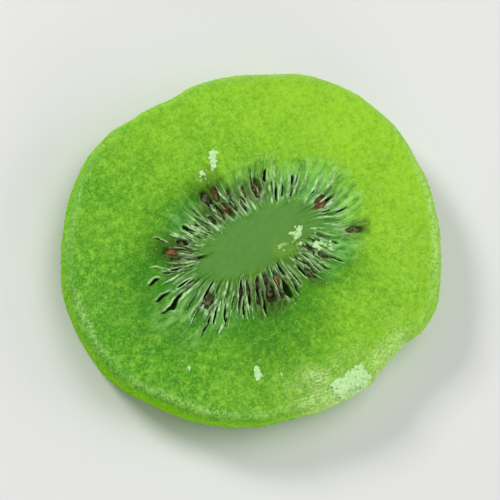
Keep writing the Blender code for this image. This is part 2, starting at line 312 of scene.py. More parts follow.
# Dark gaps: how long and how wide, in millimetres. GAP_SHARE of the width lies on each side of the middle.
PLAIN_GAPS = ((57, 1.4, 2, 0.55), (46, 0.6, 1.2, 0.45), (45, 2.9, 1.7, 0.4), (64, 4, 1.5, 0.5),
              (272, 3.4, 2.8, 0.7), (275.5, 1, 1.9, 0.55), (268.5, 1.4, 2.2, 0.45), (261, 1.5, 2.2, 0.45),
              (257.5, 4.3, 2.2, 0.4), (254.5, 2.2, 2.6, 0.5), (248, 2.3, 2.4, 0.45), (241, 1.5, 2.6, 0.5),
              (243.5, 4, 2.2, 0.35), (235, 2.6, 1.7, 0.25), (280, 2.6, 2.4, 0.45), (286.5, 2.6, 2.2, 0.4),
              (291, 1.4, 1.8, 0.4), (295.5, 3.1, 2.1, 0.4), (301, 2.4, 1.9, 0.4), (307, 4.9, 1.5, 0.3),
              (191, 5.2, 3, 0.26), (183, 2.1, 1.9, 0.4), (170, 5.7, 1.8, 0.28), (163, 2.4, 1.7, 0.35),
              (223, 4.4, 2.2, 0.28), (206, 4.6, 1.7, 0.26), (231, 5.4, 1.4, 0.2), (139.5, 5.4, 2, 0.15),
              (126, 2.8, 2, 0.5), (133, 2.3, 1.6, 0.35))
GAP_SHARE = 0.4

# The chambers, least and most of each: the trough's depth and where it ends, where the wall begins and how
# far out it runs, in millimetres, and how high and how pale the wall is. The fan's run further out.
TROUGH_DEPTHS = (0.10, 0.32)
TROUGH_ENDS = (3.4, 5.4)
FAN_TROUGHS = 1.5
WALL_ROOTS = (-0.6, 1.6)
WALL_REACHES = (3.8, 6.2)
FAN_WALLS = 4.2
WALL_SHARES = (0.45, 1.2)
WALL_PALES = (0.2, 1.0)

# The small seeds: millimetres out of the first and from one to the next, and what each is like.
PLAIN_SEED_SIZE = 1.1
FIRST_SEED = (1.0, 1.9)
SEED_STEPS = (1.2, 2.1)
SEED_CHANCE = 0.85
SEEDS_APART = 1.7 * MM
SEED_SPOT = 0.2
SEED_SIZES = (0.75, 1.05)
SEED_SHOWS = (0.3, 0.9)
SEED_LEAN = 0.14
REDDEST = 0.8
RED_RARITY = 16.0

# The small dark slits, in millimetres: half their length, how far out they begin, how wide and how deep they
# are. In the fan they are longer and wider, and begin further out.
SLIT_HALVES = (0.5, 1.1)
SLIT_BEGINNINGS = (0.2, 3.0)
SLIT_WIDTHS = (0.08, 0.17)
SLIT_DEPTHS = (0.35, 0.7)
SLIT_DARKS = (0.5, 0.9)
FAN_SLITS = {"long": 0.5, "out": 3.2, "wide": 0.2}
SLIT_SIDES = (0.2, 0.8)
SLIT_SPOT = 0.12
FAN_SLIT_SPOT = 0.07


def fanned(angle):
    """1 where the band is all long threads, with hardly a seed, and 0 away from there."""
    return bells(angle, THREAD_FAN)


def chamber_seeds(rule, start, width, plain_seeds):
    """The seeds of one chamber, from the core outwards. How open a seed is says how much of it shows."""
    middle = start + width / 2.0
    first, last = math.degrees(arc_angle(start)), math.degrees(arc_angle(start + width))
    found = [
        {"turn": middle, "out": MM * out, "size": PLAIN_SEED_SIZE, "open": shows, "lean": 0.0, "red": red}
        for degrees, out, shows, red in plain_seeds if first <= degrees < last
    ]
    plain = [seed["out"] for seed in found]
    reach = MM * bells(arc_angle(middle), SEED_REACH)
    out = MM * rule.uniform(*FIRST_SEED)
    while out < reach:
        if rule.random() < SEED_CHANCE and all(abs(out - taken) > SEEDS_APART for taken in plain):
            found.append({
                "turn": start + width * (0.5 + rule.uniform(-SEED_SPOT, SEED_SPOT)),
                "out": out,
                "size": rule.uniform(*SEED_SIZES),
                "open": rule.uniform(*SEED_SHOWS),
                "lean": rule.gauss(0.0, SEED_LEAN),
                "red": REDDEST * rule.random() ** RED_RARITY,
            })
        out += MM * rule.uniform(*SEED_STEPS)
    return found


def chamber_slits(rule, start, width, fan):
    """The dark gaps of one chamber, beside its seeds. In the fan they lie between the fingers."""
    found = []
    few = bells(arc_angle(start + width / 2.0), FEW_SLITS) > 0.5
    nearest, furthest = SLIT_BEGINNINGS
    for _ in range(rule.choice((0, 1)) if few else rule.choice((0, 1, 1, 2))):
        half = MM * rule.uniform(*SLIT_HALVES) * (1.0 + FAN_SLITS["long"] * fan)
        if fan > 0.35:
            spot = rule.gauss(0.0, FAN_SLIT_SPOT)
        else:
            spot = rule.choice(SLIT_SIDES) + rule.uniform(-SLIT_SPOT, SLIT_SPOT)
        found.append({
            "turn": start + width * spot,
            "out": half + MM * rule.uniform(nearest, furthest + FAN_SLITS["out"] * fan),
            "long": half,
            "wide": MM * rule.uniform(*SLIT_WIDTHS) * (1.0 + FAN_SLITS["wide"] * fan),
            "depth": MM * rule.uniform(*SLIT_DEPTHS),
            "dark": rule.uniform(*SLIT_DARKS),
        })
    return found


def plain_gap(degrees, out, long, wide):
    """One of the dark gaps that stand out, on the band's own measure round."""
    return {"turn": arc_turn(math.radians(degrees)), "out": MM * out, "long": 0.5 * MM * long,
            "wide": GAP_SHARE * MM * wide, "depth": GAP_DEPTH, "dark": 1.0}


def band_rules(side, plain_seeds, plain_gaps):
    """What one face's band holds. Starts, widths and turns are shares of the way round."""
    rule = random.Random(BAND_DRAWS[side])
    widths = [rule.uniform(*CHAMBER_WIDTHS) for _ in range(CHAMBERS)]
    chambers, seed_list = [], []
    openings = [plain_gap(*row) for row in plain_gaps]
    start = 0.0
    for share in widths:
        width = share / sum(widths)
        fan = fanned(arc_angle(start + width / 2.0))
        chambers.append({
            "start": start,
            "width": width,
            "fan": smooth_step(0.2, 0.6, fan),
            "trough": MM * rule.uniform(*TROUGH_DEPTHS),
            "end": MM * (rule.uniform(*TROUGH_ENDS) + FAN_TROUGHS * fan),
            "wall": rule.uniform(*WALL_SHARES),
            "root": MM * rule.uniform(*WALL_ROOTS),
            "pale": rule.uniform(*WALL_PALES),
            "reach": MM * (rule.uniform(*WALL_REACHES) + FAN_WALLS * fan),
        })
        seed_list += chamber_seeds(rule, start, width, plain_seeds)
        openings += chamber_slits(rule, start, width, fan)
        start += width
    for seed in seed_list:
        openings.append({
            "turn": seed["turn"],
            "out": seed["out"],
            "long": 0.5 * SEED_LENGTH * seed["size"] * (0.6 + 0.4 * seed["open"]),
            "wide": 0.5 * SEED_WIDTH * seed["size"] * seed["open"],
            "depth": OPENING_DEPTH,
            "dark": 0.0,
        })
    bins = [[] for _ in range(BINS)]
    reach = math.ceil(BIN_REACH / BAND_LENGTH * BINS)
    for opening in openings:
        home = int(opening["turn"] % 1.0 * BINS)
        for near in range(home - reach, home + reach + 1):
            bins[near % BINS].append(opening)
    starts = [chamber["start"] for chamber in chambers]
    return {"chambers": chambers, "starts": starts, "seeds": seed_list, "bins": bins}


BANDS = {TOP: band_rules(TOP, PLAIN_SEEDS, PLAIN_GAPS), UNDER: band_rules(UNDER, (), ())}


def spool(turn, out):
    """The band rolled up as a tube: even distances round it and out from the core, for noise."""
    angle = TURN * turn
    return Vector((math.cos(angle) * BAND_LENGTH / TURN, math.sin(angle) * BAND_LENGTH / TURN, out))


def sway(turn, out, side):
    """How far the band's lines lean aside, as a share of the way round: none at the core, more outwards."""
    place = spool(turn, 0.7 * out + FACES_APART * side)
    lean = sum((far * noise.noise(place / size) for far, size in SWAYS), 0.0)
    return smooth_step(0.0, SWAYS_FROM, out) * lean / BAND_LENGTH


def leaned(straight, out, side):
    """Where round the band a straight line has gone by the time it is out metres from the core."""
    turn = straight
    for _ in range(5):
        turn = straight - sway(turn, out, side)
    return turn


# An opening's edges, in shares of its own size: from one to the other it comes to its end.
HOLE_EDGE = (0.65, 1.2)
DARK_EDGE = (0.5, 1.25)
SHADOW_EDGE = (1.2, 3.8)
LIT_ENDS = (0.7, 1.3)
LIP_AT = 1.35
LIP_SPREAD = 0.2
LIT_AT = 1.3
BEYOND = 4.0


def openings_at(straight, out, side):
    """What the openings do at a place: (depth, dark, bare, lip, lit, shadow).

    dark is how much of it is slit, painted as shade, bare how much lies open over a seed, lip the raised edge
    all round, lit the painted highlight along one side of a slit, and shadow the painted shadow round a seed."""
    depth = dark = bare = lip = lit = shadow = 0.0
    place = spool(straight, 0.5 * out + 1.5 * FACES_APART * side)
    torn = 1.0 + TORN_EDGES * noise.noise(place / TORN_EDGE_SIZE)
    for opening in BANDS[side]["bins"][int(straight * BINS) % BINS]:
        beside = ((straight - opening["turn"] + 0.5) % 1.0 - 0.5) * BAND_LENGTH
        far = math.hypot(beside / opening["wide"], (out - opening["out"]) / opening["long"]) * torn
        if far > BEYOND:
            continue
        inside = fade(*HOLE_EDGE, far)
        depth = max(depth, opening["depth"] * inside)
        dark = max(dark, opening["dark"] * fade(*DARK_EDGE, far))
        if opening["dark"] == 0.0:
            bare = max(bare, inside)
            shadow = max(shadow, fade(*SHADOW_EDGE, far))
        lip = max(lip, math.exp(-(((far - LIP_AT) / LIP_SPREAD) ** 2)))
        past = (beside + LIT_AT * opening["wide"]) / LIT_WIDTH
        along = fade(*LIT_ENDS, abs(out - opening["out"]) / opening["long"])
        lit = max(lit, math.exp(-(past ** 2)) * along * opening["dark"])
    return depth, dark, bare, lip, lit, shadow


def band_relief(turn, out, side):
    """The relief's height, then how much of the place is slit, wall, bare, painted shadow and painted valley
    shade.
    """
    straight = (turn + sway(turn, out, side)) % 1.0
    chambers = BANDS[side]["chambers"]
    number = bisect.bisect_right(BANDS[side]["starts"], straight) - 1
    here = chambers[number]
    across = (straight - here["start"]) / here["width"]
    edge = here if across < 0.5 else chambers[(number + 1) % CHAMBERS]
    near = min(across, 1.0 - across) * here["width"] * BAND_LENGTH
    rooted = smooth_step(-ROOTS, ROOTED, out)
    begun = smooth_step(edge["root"] + WALL_START[0], edge["root"] + WALL_START[1], out)
    faded = fade(FADE_FROM * edge["reach"], edge["reach"], out)
    wall = math.exp(-((near / WALL_WIDTH) ** 2)) * begun * faded * edge["wall"] * (1.0 - edge["fan"])
    opened = smooth_step(0.0, TROUGH_START, out) * fade(TROUGH_SHALLOWS * here["end"], here["end"], out)
    trough = math.sin(math.pi * across) * opened * (1.0 - here["fan"])
    finger = (1.0 - abs(2.0 * across - 1.0) ** 2.5) * here["fan"] * rooted
    finger *= fade(FADE_FROM * here["reach"], here["reach"], out)
    depth, dark, bare, lip, lit, shadow = openings_at(straight, out, side)
    # Painted shade in the creases between the fan's fingers.
    valley_shade = math.exp(-((near / VALLEY_WIDTH) ** 2)) * here["fan"] * rooted * faded
    lip *= 1.0 - max(dark, bare)
    breaks = noise.noise(Vector((13.0 * edge["start"] / edge["width"], out / BREAKS, side)))
    broken = smooth_step(-0.25, 0.35, breaks)
    # A painted highlight along one side of each finger.
    flank_highlight = math.exp(-(((near - FLANK_HIGHLIGHT) / FLANK_HIGHLIGHT_WIDTH) ** 2)) * here["fan"] if across < 0.5 else 0.0
    lines = max(wall * wall, 0.5 * flank_highlight * faded * rooted) * broken * edge["pale"]
    fray = noise.noise(spool(straight, 0.25 * out + 0.5 * FACES_APART * side) / FRAY_SIZE) * rooted * faded
    height = WALL_HEIGHT * wall + FINGER_HEIGHT * finger + LIP * (lip + lit) + FRAY * fray
    height -= here["trough"] * trough
    # The walls' pale is their own colour; the flank lines and lit add painted highlights to it.
    pale = PALENESS["wall"] * lines + PALENESS["lip"] * lip * rooted * faded
    pale += PALENESS["fray"] * max(0.0, fray)
    pale += PALENESS["lit"] * lit * (1.0 - dark)
    return height - depth, dark, min(1.0, pale), bare, shadow * rooted, valley_shade


def face_relief(radius, turn, side):
    """What band_relief gives, anywhere on a face, with the height against the plane that it is cut to."""
    if radius <= BLANK_CORE:
        share = radius / BLANK_CORE
        out = (share - 1.0) * CORE_HALF_WIDTH
        height = -CORE_SINK + CORE_CROWN * (1.0 - share ** 2)
    else:
        out = radius - BLANK_CORE
        puff = FLESH_PUFF if side == TOP else 0.0
        if radius <= BLANK_BAND:
            across = smooth_step(0.0, SEED_BAND, out)
            height = -BAND_DEPTH * hump(out / SEED_BAND)
            height -= CORE_SINK * (1.0 - across) + puff * across
        else:
            height = -puff * (1.0 - hump((radius - BLANK_BAND) / (BLANK_FLAT - BLANK_BAND)))
    if out < -ROOTS:
        return height, 0.0, 0.0, 0.0, 0.0, 0.0
    relief, *marks = band_relief(turn, out, side)
    return height + relief, *marks


def blank_profile():
    """(radius, height) pairs from the middle of the top, out and round the rim, to the middle below."""
    def radii(rings):
        core = [BLANK_CORE * (ring / rings["core"]) ** 0.62 for ring in range(rings["core"])]
        band = [BLANK_CORE + SEED_BAND * ring / rings["band"] for ring in range(rings["band"])]
        flesh = [BLANK_BAND + (BLANK_FLAT - BLANK_BAND) * (ring / rings["flesh"]) ** 1.2
                 for ring in range(rings["flesh"])]
        return core + band + flesh

    top = [(radius, THICKNESS) for radius in radii(TOP_RINGS)]
    rim = []
    for ring in range(RIM_RINGS + 1):
        bend = math.pi * (0.5 - ring / RIM_RINGS)
        round_out = RIM_ROUND * math.cos(bend) ** RIM_SQUARENESS
        up = math.copysign(abs(math.sin(bend)) ** RIM_SQUARENESS, bend)
        rim.append((BLANK_FLAT + round_out, THICKNESS / 2.0 * (1.0 + up)))
    under = [(radius, 0.0) for radius in reversed(radii(UNDER_RINGS))]
    return top + rim + under


def deselect():
    """Nothing is selected, so that the next operator acts on its own piece alone."""
    for thing in bpy.context.view_layer.objects:
        thing.select_set(False)


def select_only(thing):
    """One thing is selected and active."""
    deselect()
    thing.select_set(True)
    bpy.context.view_layer.objects.active = thing


def stretch(thing, factors):
    """Stretches all of a mesh about the origin, in edit mode."""
    bpy.ops.object.mode_set(mode="EDIT")
    bpy.ops.mesh.select_all(action="SELECT")
    bpy.ops.transform.resize(value=factors)
    bpy.ops.object.mode_set(mode="OBJECT")
    return thing


def placed(name, data):
    """A new object in the scene that holds some data."""
    thing = bpy.data.objects.new(name, data)
    bpy.context.scene.collection.objects.link(thing)
    return thing


def turned_disc(name):
    """The blank: one point extruded along the profile, and the profile spun about +Z."""
    points = [Vector((radius, 0.0, height)) for radius, height in blank_profile()]
    deselect()
    bpy.ops.mesh.primitive_plane_add(size=MM, location=points[0])
    disc = bpy.context.object
    disc.name = name
    bpy.ops.object.mode_set(mode="EDIT")
    bpy.ops.mesh.merge(type="CENTER")
    for here, after in zip(points, points[1:]):
        bpy.ops.mesh.extrude_region_move(TRANSFORM_OT_translate={"value": after - here})
    bpy.ops.mesh.select_all(action="SELECT")
    bpy.ops.mesh.spin(steps=SPOKES, angle=TURN, center=(0.0, 0.0, 0.0), axis=(0.0, 0.0, 1.0))
    bpy.ops.mesh.select_all(action="SELECT")
    bpy.ops.mesh.remove_doubles(threshold=MM / 1000.0)
    bpy.ops.mesh.normals_make_consistent(inside=False)
    bpy.ops.object.mode_set(mode="OBJECT")
    bpy.ops.object.transform_apply(location=True, rotation=True, scale=True)
    return disc


def paint(mesh, name, values):
    """Stores one number, or one vector, for each vertex."""
    kind = "FLOAT_VECTOR" if np.ndim(values) == 2 else "FLOAT"
    attribute = mesh.attributes.new(name, kind, "POINT")
    attribute.data.foreach_set("vector" if kind == "FLOAT_VECTOR" else "value",
                               np.ravel(values).astype(np.float32))


CAKE_FROM = math.radians(254.0)
CAKE_TO = math.radians(268.0)
CAKE_END = math.radians(1.5)
CAKE_WIDTH = 2.8 * MM
CAKE_HEIGHT = 0.28 * MM
CAKE_LUMPS = 0.7 * MM


def cake_share(place):
    """1 on the patch of caked sugar beside the torn rim, with a ragged edge, and 0 elsewhere."""
    direction = math.atan2(place.y, place.x) % TURN
    ragged = ripple(place, 1.3 * MM, 6.0)
    torn = direction + 0.05 * ragged
    along = smooth_step(CAKE_FROM - CAKE_END, CAKE_FROM + CAKE_END, torn)
    along -= smooth_step(CAKE_TO - CAKE_END, CAKE_TO + CAKE_END, torn)
    inward = outline_radius(direction) - math.hypot(place.x, place.y)
    return max(0.0, along) * fade(0.75 * CAKE_WIDTH, CAKE_WIDTH, inward + MM * ragged)


# Where sugar frosts the face: in degrees from +X, the middle, the spread and how much.
BY_TEAR = ((251, 14, 1.1), (266, 12, 0.35), (288, 8, 0.2))
# Along the torn edge the frost is laid on paler, also as a painted highlight on the edge's slope.
TORN_EDGE_FROST_AND_HIGHLIGHT = ((256, 13, 1.7), (277, 11, 1.1))
LOW_DUST = ((228, 34, 0.08), (315, 20, 0.1), (150, 24, 0.1))


def frost_share(place):
    """How frosted a place on the slice is with sugar, from 0 to 1: most by the torn stretch of the rim,
    where it is also a painted highlight along the torn edge.
    """
    direction = math.atan2(place.y, place.x)
    reach = math.hypot(place.x, place.y) / outline_radius(direction)
    patches = smooth_step(-0.5, 0.6, 0.6 * ripple(place, 2.6 * MM, 4.0) + 0.6 * ripple(place, 0.9 * MM, 9.0))
    by_tear = bells(direction, BY_TEAR) * smooth_step(0.68, 0.84, reach)
    torn_edge_and_highlight = bells(direction, TORN_EDGE_FROST_AND_HIGHLIGHT) * smooth_step(0.84, 0.95, reach)
    low = bells(direction, LOW_DUST) * smooth_step(0.6, 0.9, reach)
    share = max(by_tear * (0.1 + 0.9 * patches), torn_edge_and_highlight * (0.65 + 0.35 * patches), low * patches)
    return min(1.0, max(share, cake_share(place)))


# Dried juice on the core's edge, yellow-green: places and spreads in millimetres.
MOSS = ((2, -2.3, 1.1), (3.2, -3.4, 1.3), (4.2, -4.4, 1.2), (-2.6, -2.8, 1))

# What is painted on each point of the skin, from 0 to 1, apart from out, which is in millimetres from the
# core's edge, and deep, which falls from 1 at that edge to 0 where the darker green ends, and on below 0.
# Of these marks, the slits and the fan's creases carry painted shade, the shadow a painted shadow round
# seeds, the rim's crest a painted highlight, the walls painted highlights in part, and the rim's milky edge
# frost with a painted sheen.
MARKS = ("slit", "wall", "bare", "shadow", "valley_shade", "core", "side", "out", "deep", "feather", "murk", "moss",
         "crest_highlight", "frost", "rim_frost_and_sheen")

FAN_CORE = 3.2 * MM
CORE_TEETH = 1.1 * MM
PLUME_FROM = 3.5 * MM
PLUME_TO = 8.5 * MM
FAN_PLUME = 4.0 * MM
MURK_REACH = 4.8
MURK_START = (0.4 * MM, 1.4 * MM)
RIM_FROST_AND_SHEEN_EDGE = (0.87, 0.97)
SLUMP_EDGE = (0.86, 1.0)


def outer_shares(radius):
    """How far out a point of the blank is, from the band to the rim, and how far into the rim's rounding."""
    share = max(0.0, (radius - BLANK_BAND) / (BLANK_RIM - BLANK_BAND))
    return share, smooth_step(BLANK_FLAT, BLANK_RIM, radius)


def skin_point(place, z, radius, height, side):
    """Where a point goes, from its place seen from above, its z on the blank and the relief's height."""
    direction = math.atan2(place.y, place.x)
    share, rounded = outer_shares(radius)
    solid = Vector((place.x, place.y, z))
    outward = RIM_BUMPS * ripple(solid, RIM_BUMP_SIZE) * rounded
    outward += RAGGED * torn_share(direction) * ripple(solid, RAGGED_SIZE, 3.0) * share
    outward -= UNDERCUT * bells(direction, UNDERCUT_AT) * share * (1.0 - z / THICKNESS)
    swell = SWELLS * ripple(solid, SWELL_SIZE, 7.0 * side) * smooth_step(0.0, 0.4, share)
    swell += GRAINS * ripple(solid, GRAIN_SIZE, 2.0) * smooth_step(-0.2, 0.2, share)
    if side == TOP:
        swell += CAKE_HEIGHT * cake_share(place) * (0.7 + 0.8 * ripple(solid, CAKE_LUMPS, 5.0))
        rise = (height + swell) * (1.0 - rounded) + rim_lift(share, direction)
        rise -= RIM_SLUMP * bells(direction, SLUMPED) * smooth_step(*SLUMP_EDGE, share)
    else:
        rise = max(0.0, (abs(swell) - height) * (1.0 - rounded)) + rim_lift(share, direction)
    return place + place.normalized() * outward + Vector((0.0, 0.0, z + rise))


def skin_marks(place, z, radius, angle, out, rolled, side):
    """What a point of the skin is, by the names in MARKS that follow those of the band's relief."""
    direction = math.atan2(place.y, place.x)
    share, rounded = outer_shares(radius)
    fan = fanned(angle)
    plume = FAN_PLUME * fan
    murk_to = MM * (MURK_REACH + bells(angle, MURK_FURTHER))
    off_crest = (radius - BLANK_FLAT - CREST_HIGHLIGHT_OUT) / CREST_HIGHLIGHT_WIDTH
    on_top = 1.0 if side == TOP else 0.0
    return (
        fade(-0.5 * MM, 1.0 * MM + FAN_CORE * fan, out + CORE_RAGGED * ripple(rolled, CORE_TEETH)),
        rounded * smooth_step(0.02, 0.3, 1.0 - z / THICKNESS),
        out / MM,
        1.0 - out / (DEEP_LEAST + MM * bells(angle, DEEP_REACH)),
        bells(angle, FEATHERS) * fade(PLUME_FROM + plume, PLUME_TO + plume, out),
        bells(angle, MURK) * smooth_step(*MURK_START, out) * fade(0.6 * murk_to, murk_to, out),
        max(math.exp(-((place - Vector((MM * x, MM * y, 0.0))).length / (MM * spread)) ** 2)
            for x, y, spread in MOSS),
        # A painted highlight on the rim's crest.
        on_top * math.exp(-(off_crest ** 2)) * bells(direction, CREST_HIGHLIGHTS),
        frost_share(place) * smooth_step(0.1, 0.4, z / THICKNESS),
        # Frost with a painted sheen along the rim's edge.
        on_top * bells(direction, RIM_FROST_AND_SHEEN_AT) * smooth_step(*RIM_FROST_AND_SHEEN_EDGE, share),
    )


def draw_out(disc):
    """Moves each point of the blank to its place on the slice, and paints on it what its surface is."""
    mesh = disc.data
    places = np.zeros((len(mesh.vertices), 3))
    spools = np.zeros((len(mesh.vertices), 3))
    marks = np.zeros((len(mesh.vertices), len(MARKS)))
    for index, vertex in enumerate(mesh.vertices):
        x, y, z = vertex.co
        radius = math.hypot(x, y)
        turn = math.atan2(y, x) / TURN % 1.0
        place = slice_point(radius, turn)
        side = TOP if z > THICKNESS / 2.0 else UNDER
        out = (radius / BLANK_CORE - 1.0) * CORE_HALF_WIDTH if radius <= BLANK_CORE else radius - BLANK_CORE
        rolled = spool(turn + sway(turn, out, side), out)
        height, *band_marks = face_relief(min(radius, BLANK_FLAT), turn, side)
        places[index] = skin_point(place, z, radius, height, side)
        spools[index] = rolled
        marks[index] = *band_marks, *skin_marks(place, z, radius, arc_angle(turn), out, rolled, side)
    mesh.vertices.foreach_set("co", places.ravel().astype(np.float32))
    paint(mesh, "spool", spools)
    for name, values in zip(MARKS, marks.T):
        paint(mesh, name, values)
    mesh.update()
    mesh.shade_smooth()


def flesh_body():
    """The whole slice: core, band, flesh and rim in one closed skin."""
    body = turned_disc("flesh")
    draw_out(body)
    return body


# ---- Small things that lie on the slice.
def scattered(name, shape, placings, shades):
    """One mesh of many copies of a small shape, a matrix and a shade for each. The shape is used up."""
    corners = np.array([tuple(vertex.co) for vertex in shape.data.vertices])
    faces = [tuple(face.vertices) for face in shape.data.polygons]
    bpy.data.objects.remove(shape)
    matrices = np.array([np.array(placing) for placing in placings])
    spread = np.einsum("nij,kj->nki", matrices[:, :3, :3], corners) + matrices[:, None, :3, 3]
    many = [tuple(corner + step * len(corners) for corner in face)
            for step in range(len(placings)) for face in faces]
    mesh = bpy.data.meshes.new(name)
    mesh.from_pydata(spread.reshape(-1, 3).tolist(), [], many)
    paint(mesh, "shade", np.repeat(np.array(shades), len(corners)))
    return placed(name, mesh)


def skin_of(piece):
    """A finder of points on a piece's surface."""
    return BVHTree.FromObject(piece, bpy.context.evaluated_depsgraph_get())


def on_face(skins, place, side):
    """The outermost point of the skins straight above or below a place."""
    start = Vector((place.x, place.y, THICKNESS * (2.0 if side == TOP else -1.0)))
    found = [skin.ray_cast(start, Vector((0.0, 0.0, -side)))[0] for skin in skins]
    return max((point for point in found if point), key=lambda point: side * point.z)


def seed_shape():
    """A blunt, flattened drop along X with its point at -X."""
    deselect()
    on_its_side = (0.0, math.pi / 2.0, 0.0)
    bpy.ops.mesh.primitive_uv_sphere_add(segments=14, ring_count=10, radius=0.5, rotation=on_its_side)
    bpy.ops.object.transform_apply(location=True, rotation=True, scale=True)
    seed = stretch(bpy.context.object, (SEED_LENGTH, SEED_WIDTH, SEED_DEPTH))
    for vertex in seed.data.vertices:
        taper = 1.0 - 0.6 * smooth_step(-0.1, 0.5, -vertex.co.x / SEED_LENGTH)
        vertex.co.y *= taper
        vertex.co.z *= taper
        vertex.co *= 1.0 + SEED_DENTS * ripple(vertex.co, 0.5 * MM)
    return seed


SEED_ROLL = 0.22
SEED_PITCH = 0.09
SEED_PLUMPNESS = ((0.85, 1.05), (0.8, 1.1), (0.75, 1.05))
SEED_RAISED = (-0.14, 0.02)
OPEN_RAISED = 0.16


def lay_seeds(skin, side):
    """The matrices and shades of the seeds of one face, each under its opening with its point to the core."""
    rule = random.Random(SEED_DRAWS[side])
    placings, shades = [], []
    for seed in BANDS[side]["seeds"]:
        here, after = (band_point(leaned(seed["turn"], seed["out"] + step, side), seed["out"] + step)
                       for step in (0.0, 0.2 * MM))
        heading = math.atan2(after.y - here.y, after.x - here.x) + seed["lean"]
        spin = Euler((rule.gauss(0.0, SEED_ROLL), rule.gauss(0.0, SEED_PITCH), heading)).to_matrix().to_4x4()
        bed = on_face([skin], here, side)
        raised = OPENING_DEPTH + MM * (rule.uniform(*SEED_RAISED) + OPEN_RAISED * seed["open"])
        raised -= 0.5 * SEED_DEPTH * seed["size"]
        place = Vector((bed.x, bed.y, bed.z + side * raised))
        plump = Matrix.Diagonal([rule.uniform(*least_most) for least_most in SEED_PLUMPNESS] + [1.0])
        placings.append(Matrix.Translation(place) @ spin @ plump @ Matrix.Scale(seed["size"], 4))
        shades.append(seed["red"])
    return placings, shades


def seeds(skin):
    """The seeds of both faces."""
    top, top_shades = lay_seeds(skin, TOP)
    under, under_shades = lay_seeds(skin, UNDER)
    piece = scattered("seeds", seed_shape(), top + under, top_shades + under_shades)
    piece.data.shade_smooth()
    return piece


THREAD_STEPS = 15
THREAD_PASSES = 6
THREADS = {TOP: 118, UNDER: 60}
THREAD_THICKNESS = (0.04 * MM, 0.17 * MM)
THREAD_KINKS = 0.018 * MM
THREAD_CLEAR = 0.2 * MM
THREAD_DRIFT = 0.22
THREAD_SPOT = 0.14
THREAD_BEGINNINGS = (-0.4, 3.2)
THREAD_LENGTHS = (0.9, 2.8)
THREAD_SWELLINGS = (0.8, 1.1)
FAN_THREADS = {"begin": 3.6, "length": 2.4, "thick": 0.2}
THREADS_ANYWHERE = 0.18
OPEN_SEED = 0.93
SEED_HALF = 0.6 * MM


def thread_path(skins, side, straight, begin, length, drift, kinks):
    """The points of a thread that runs out from the core, drawn taut over what it lies on."""
    points = []
    for step, kink in enumerate(kinks):
        part = step / (THREAD_STEPS - 1)
        out = begin + length * part
        aside = (drift * part + kink) / BAND_LENGTH
        points.append(on_face(skins, band_point(leaned(straight + aside, out, side), out), side))
    beds = [side * point.z for point in points]
    heights = list(beds)
    for _ in range(THREAD_PASSES):
        for step in range(1, THREAD_STEPS - 1):
            heights[step] = max(beds[step], (heights[step - 1] + heights[step + 1]) / 2.0)
    return [Vector((point.x, point.y, max(THREAD_CLEAR, side * height)))
            for point, height in zip(points, heights)]


def covers(side, straight, begin, length):
    """Whether a thread would hide a seed that lies open."""
    return any(seed["open"] > OPEN_SEED and begin < seed["out"] < begin + length
               and abs((straight - seed["turn"] + 0.5) % 1.0 - 0.5) * BAND_LENGTH < SEED_HALF
               for seed in BANDS[side]["seeds"])


def threads(skins):
    """Thin pale threads that run out from the core's edge, along and across the walls of the chambers."""
    rule = random.Random(THREAD_DRAW)
    line = bpy.data.curves.new("threads", "CURVE")
    line.dimensions = "3D"
    line.bevel_depth = 1.0  # A point's radius is then the thread's own.
    line.bevel_resolution = 1
    line.use_fill_caps = True
    for side, count in THREADS.items():
        chambers = BANDS[side]["chambers"]
        likely = [THREADS_ANYWHERE + bells(arc_angle(row["start"]), PALE_THREADS) for row in chambers]
        for chamber in rule.choices(chambers, likely, k=count):
            spot = rule.choice((0.0, 0.0, 0.5)) + rule.gauss(0.0, THREAD_SPOT)
            straight = chamber["start"] + chamber["width"] * spot
            fan = fanned(arc_angle(straight))
            begin = MM * (rule.uniform(*THREAD_BEGINNINGS) + FAN_THREADS["begin"] * fan * rule.random())
            length = MM * (rule.uniform(*THREAD_LENGTHS) + FAN_THREADS["length"] * fan * rule.random())
            drift = MM * rule.gauss(0.0, THREAD_DRIFT)
            kinks = list(accumulate(rule.gauss(0.0, THREAD_KINKS) for _ in range(THREAD_STEPS)))
            if covers(side, straight, begin, length):
                continue
            thick = between(*THREAD_THICKNESS, rule.random() ** 2.0) * (1.0 + FAN_THREADS["thick"] * fan)
            spline = line.splines.new("POLY")
            spline.points.add(THREAD_STEPS - 1)
            for step, point in enumerate(thread_path(skins, side, straight, begin, length, drift, kinks)):
                tapered = 0.15 + math.sin(math.pi * (0.12 + 0.86 * step / (THREAD_STEPS - 1)))
                spline.points[step].co = (*point, 1.0)
                spline.points[step].radius = thick * rule.uniform(*THREAD_SWELLINGS) * tapered
    select_only(placed("threads", line))
    bpy.ops.object.convert(target="MESH")
    piece = bpy.context.object
    piece.data.shade_smooth()
    return piece


def crystal_shape():
    """A sugar crystal: a small squat splinter with four faces."""
    deselect()
    bpy.ops.mesh.primitive_cone_add(vertices=3, radius1=0.55, radius2=0.0, depth=0.8)
    return stretch(bpy.context.object, (1.0, 0.8, 1.0))


GRAIN_COUNTS = {"top": 27000, "rim": 13000, "under": 5000}
GRAIN_LENGTHS = (0.08 * MM, 0.32 * MM)
GRAIN_CLEAR = 0.3 * MM
GRAIN_SUNK = 0.35
GRAIN_SHADE = 0.4


def in_place_order(mesh):
    """Each face with its corners, in an order that places alone decide, because merging doubles leaves faces
    and corners in another order each run. A corner is its place and its number."""
    rows = [(sorted((tuple(mesh.vertices[corner].co), corner) for corner in face.vertices), face.index)
            for face in mesh.polygons]
    return [(mesh.polygons[number], corners) for corners, number in sorted(rows)]


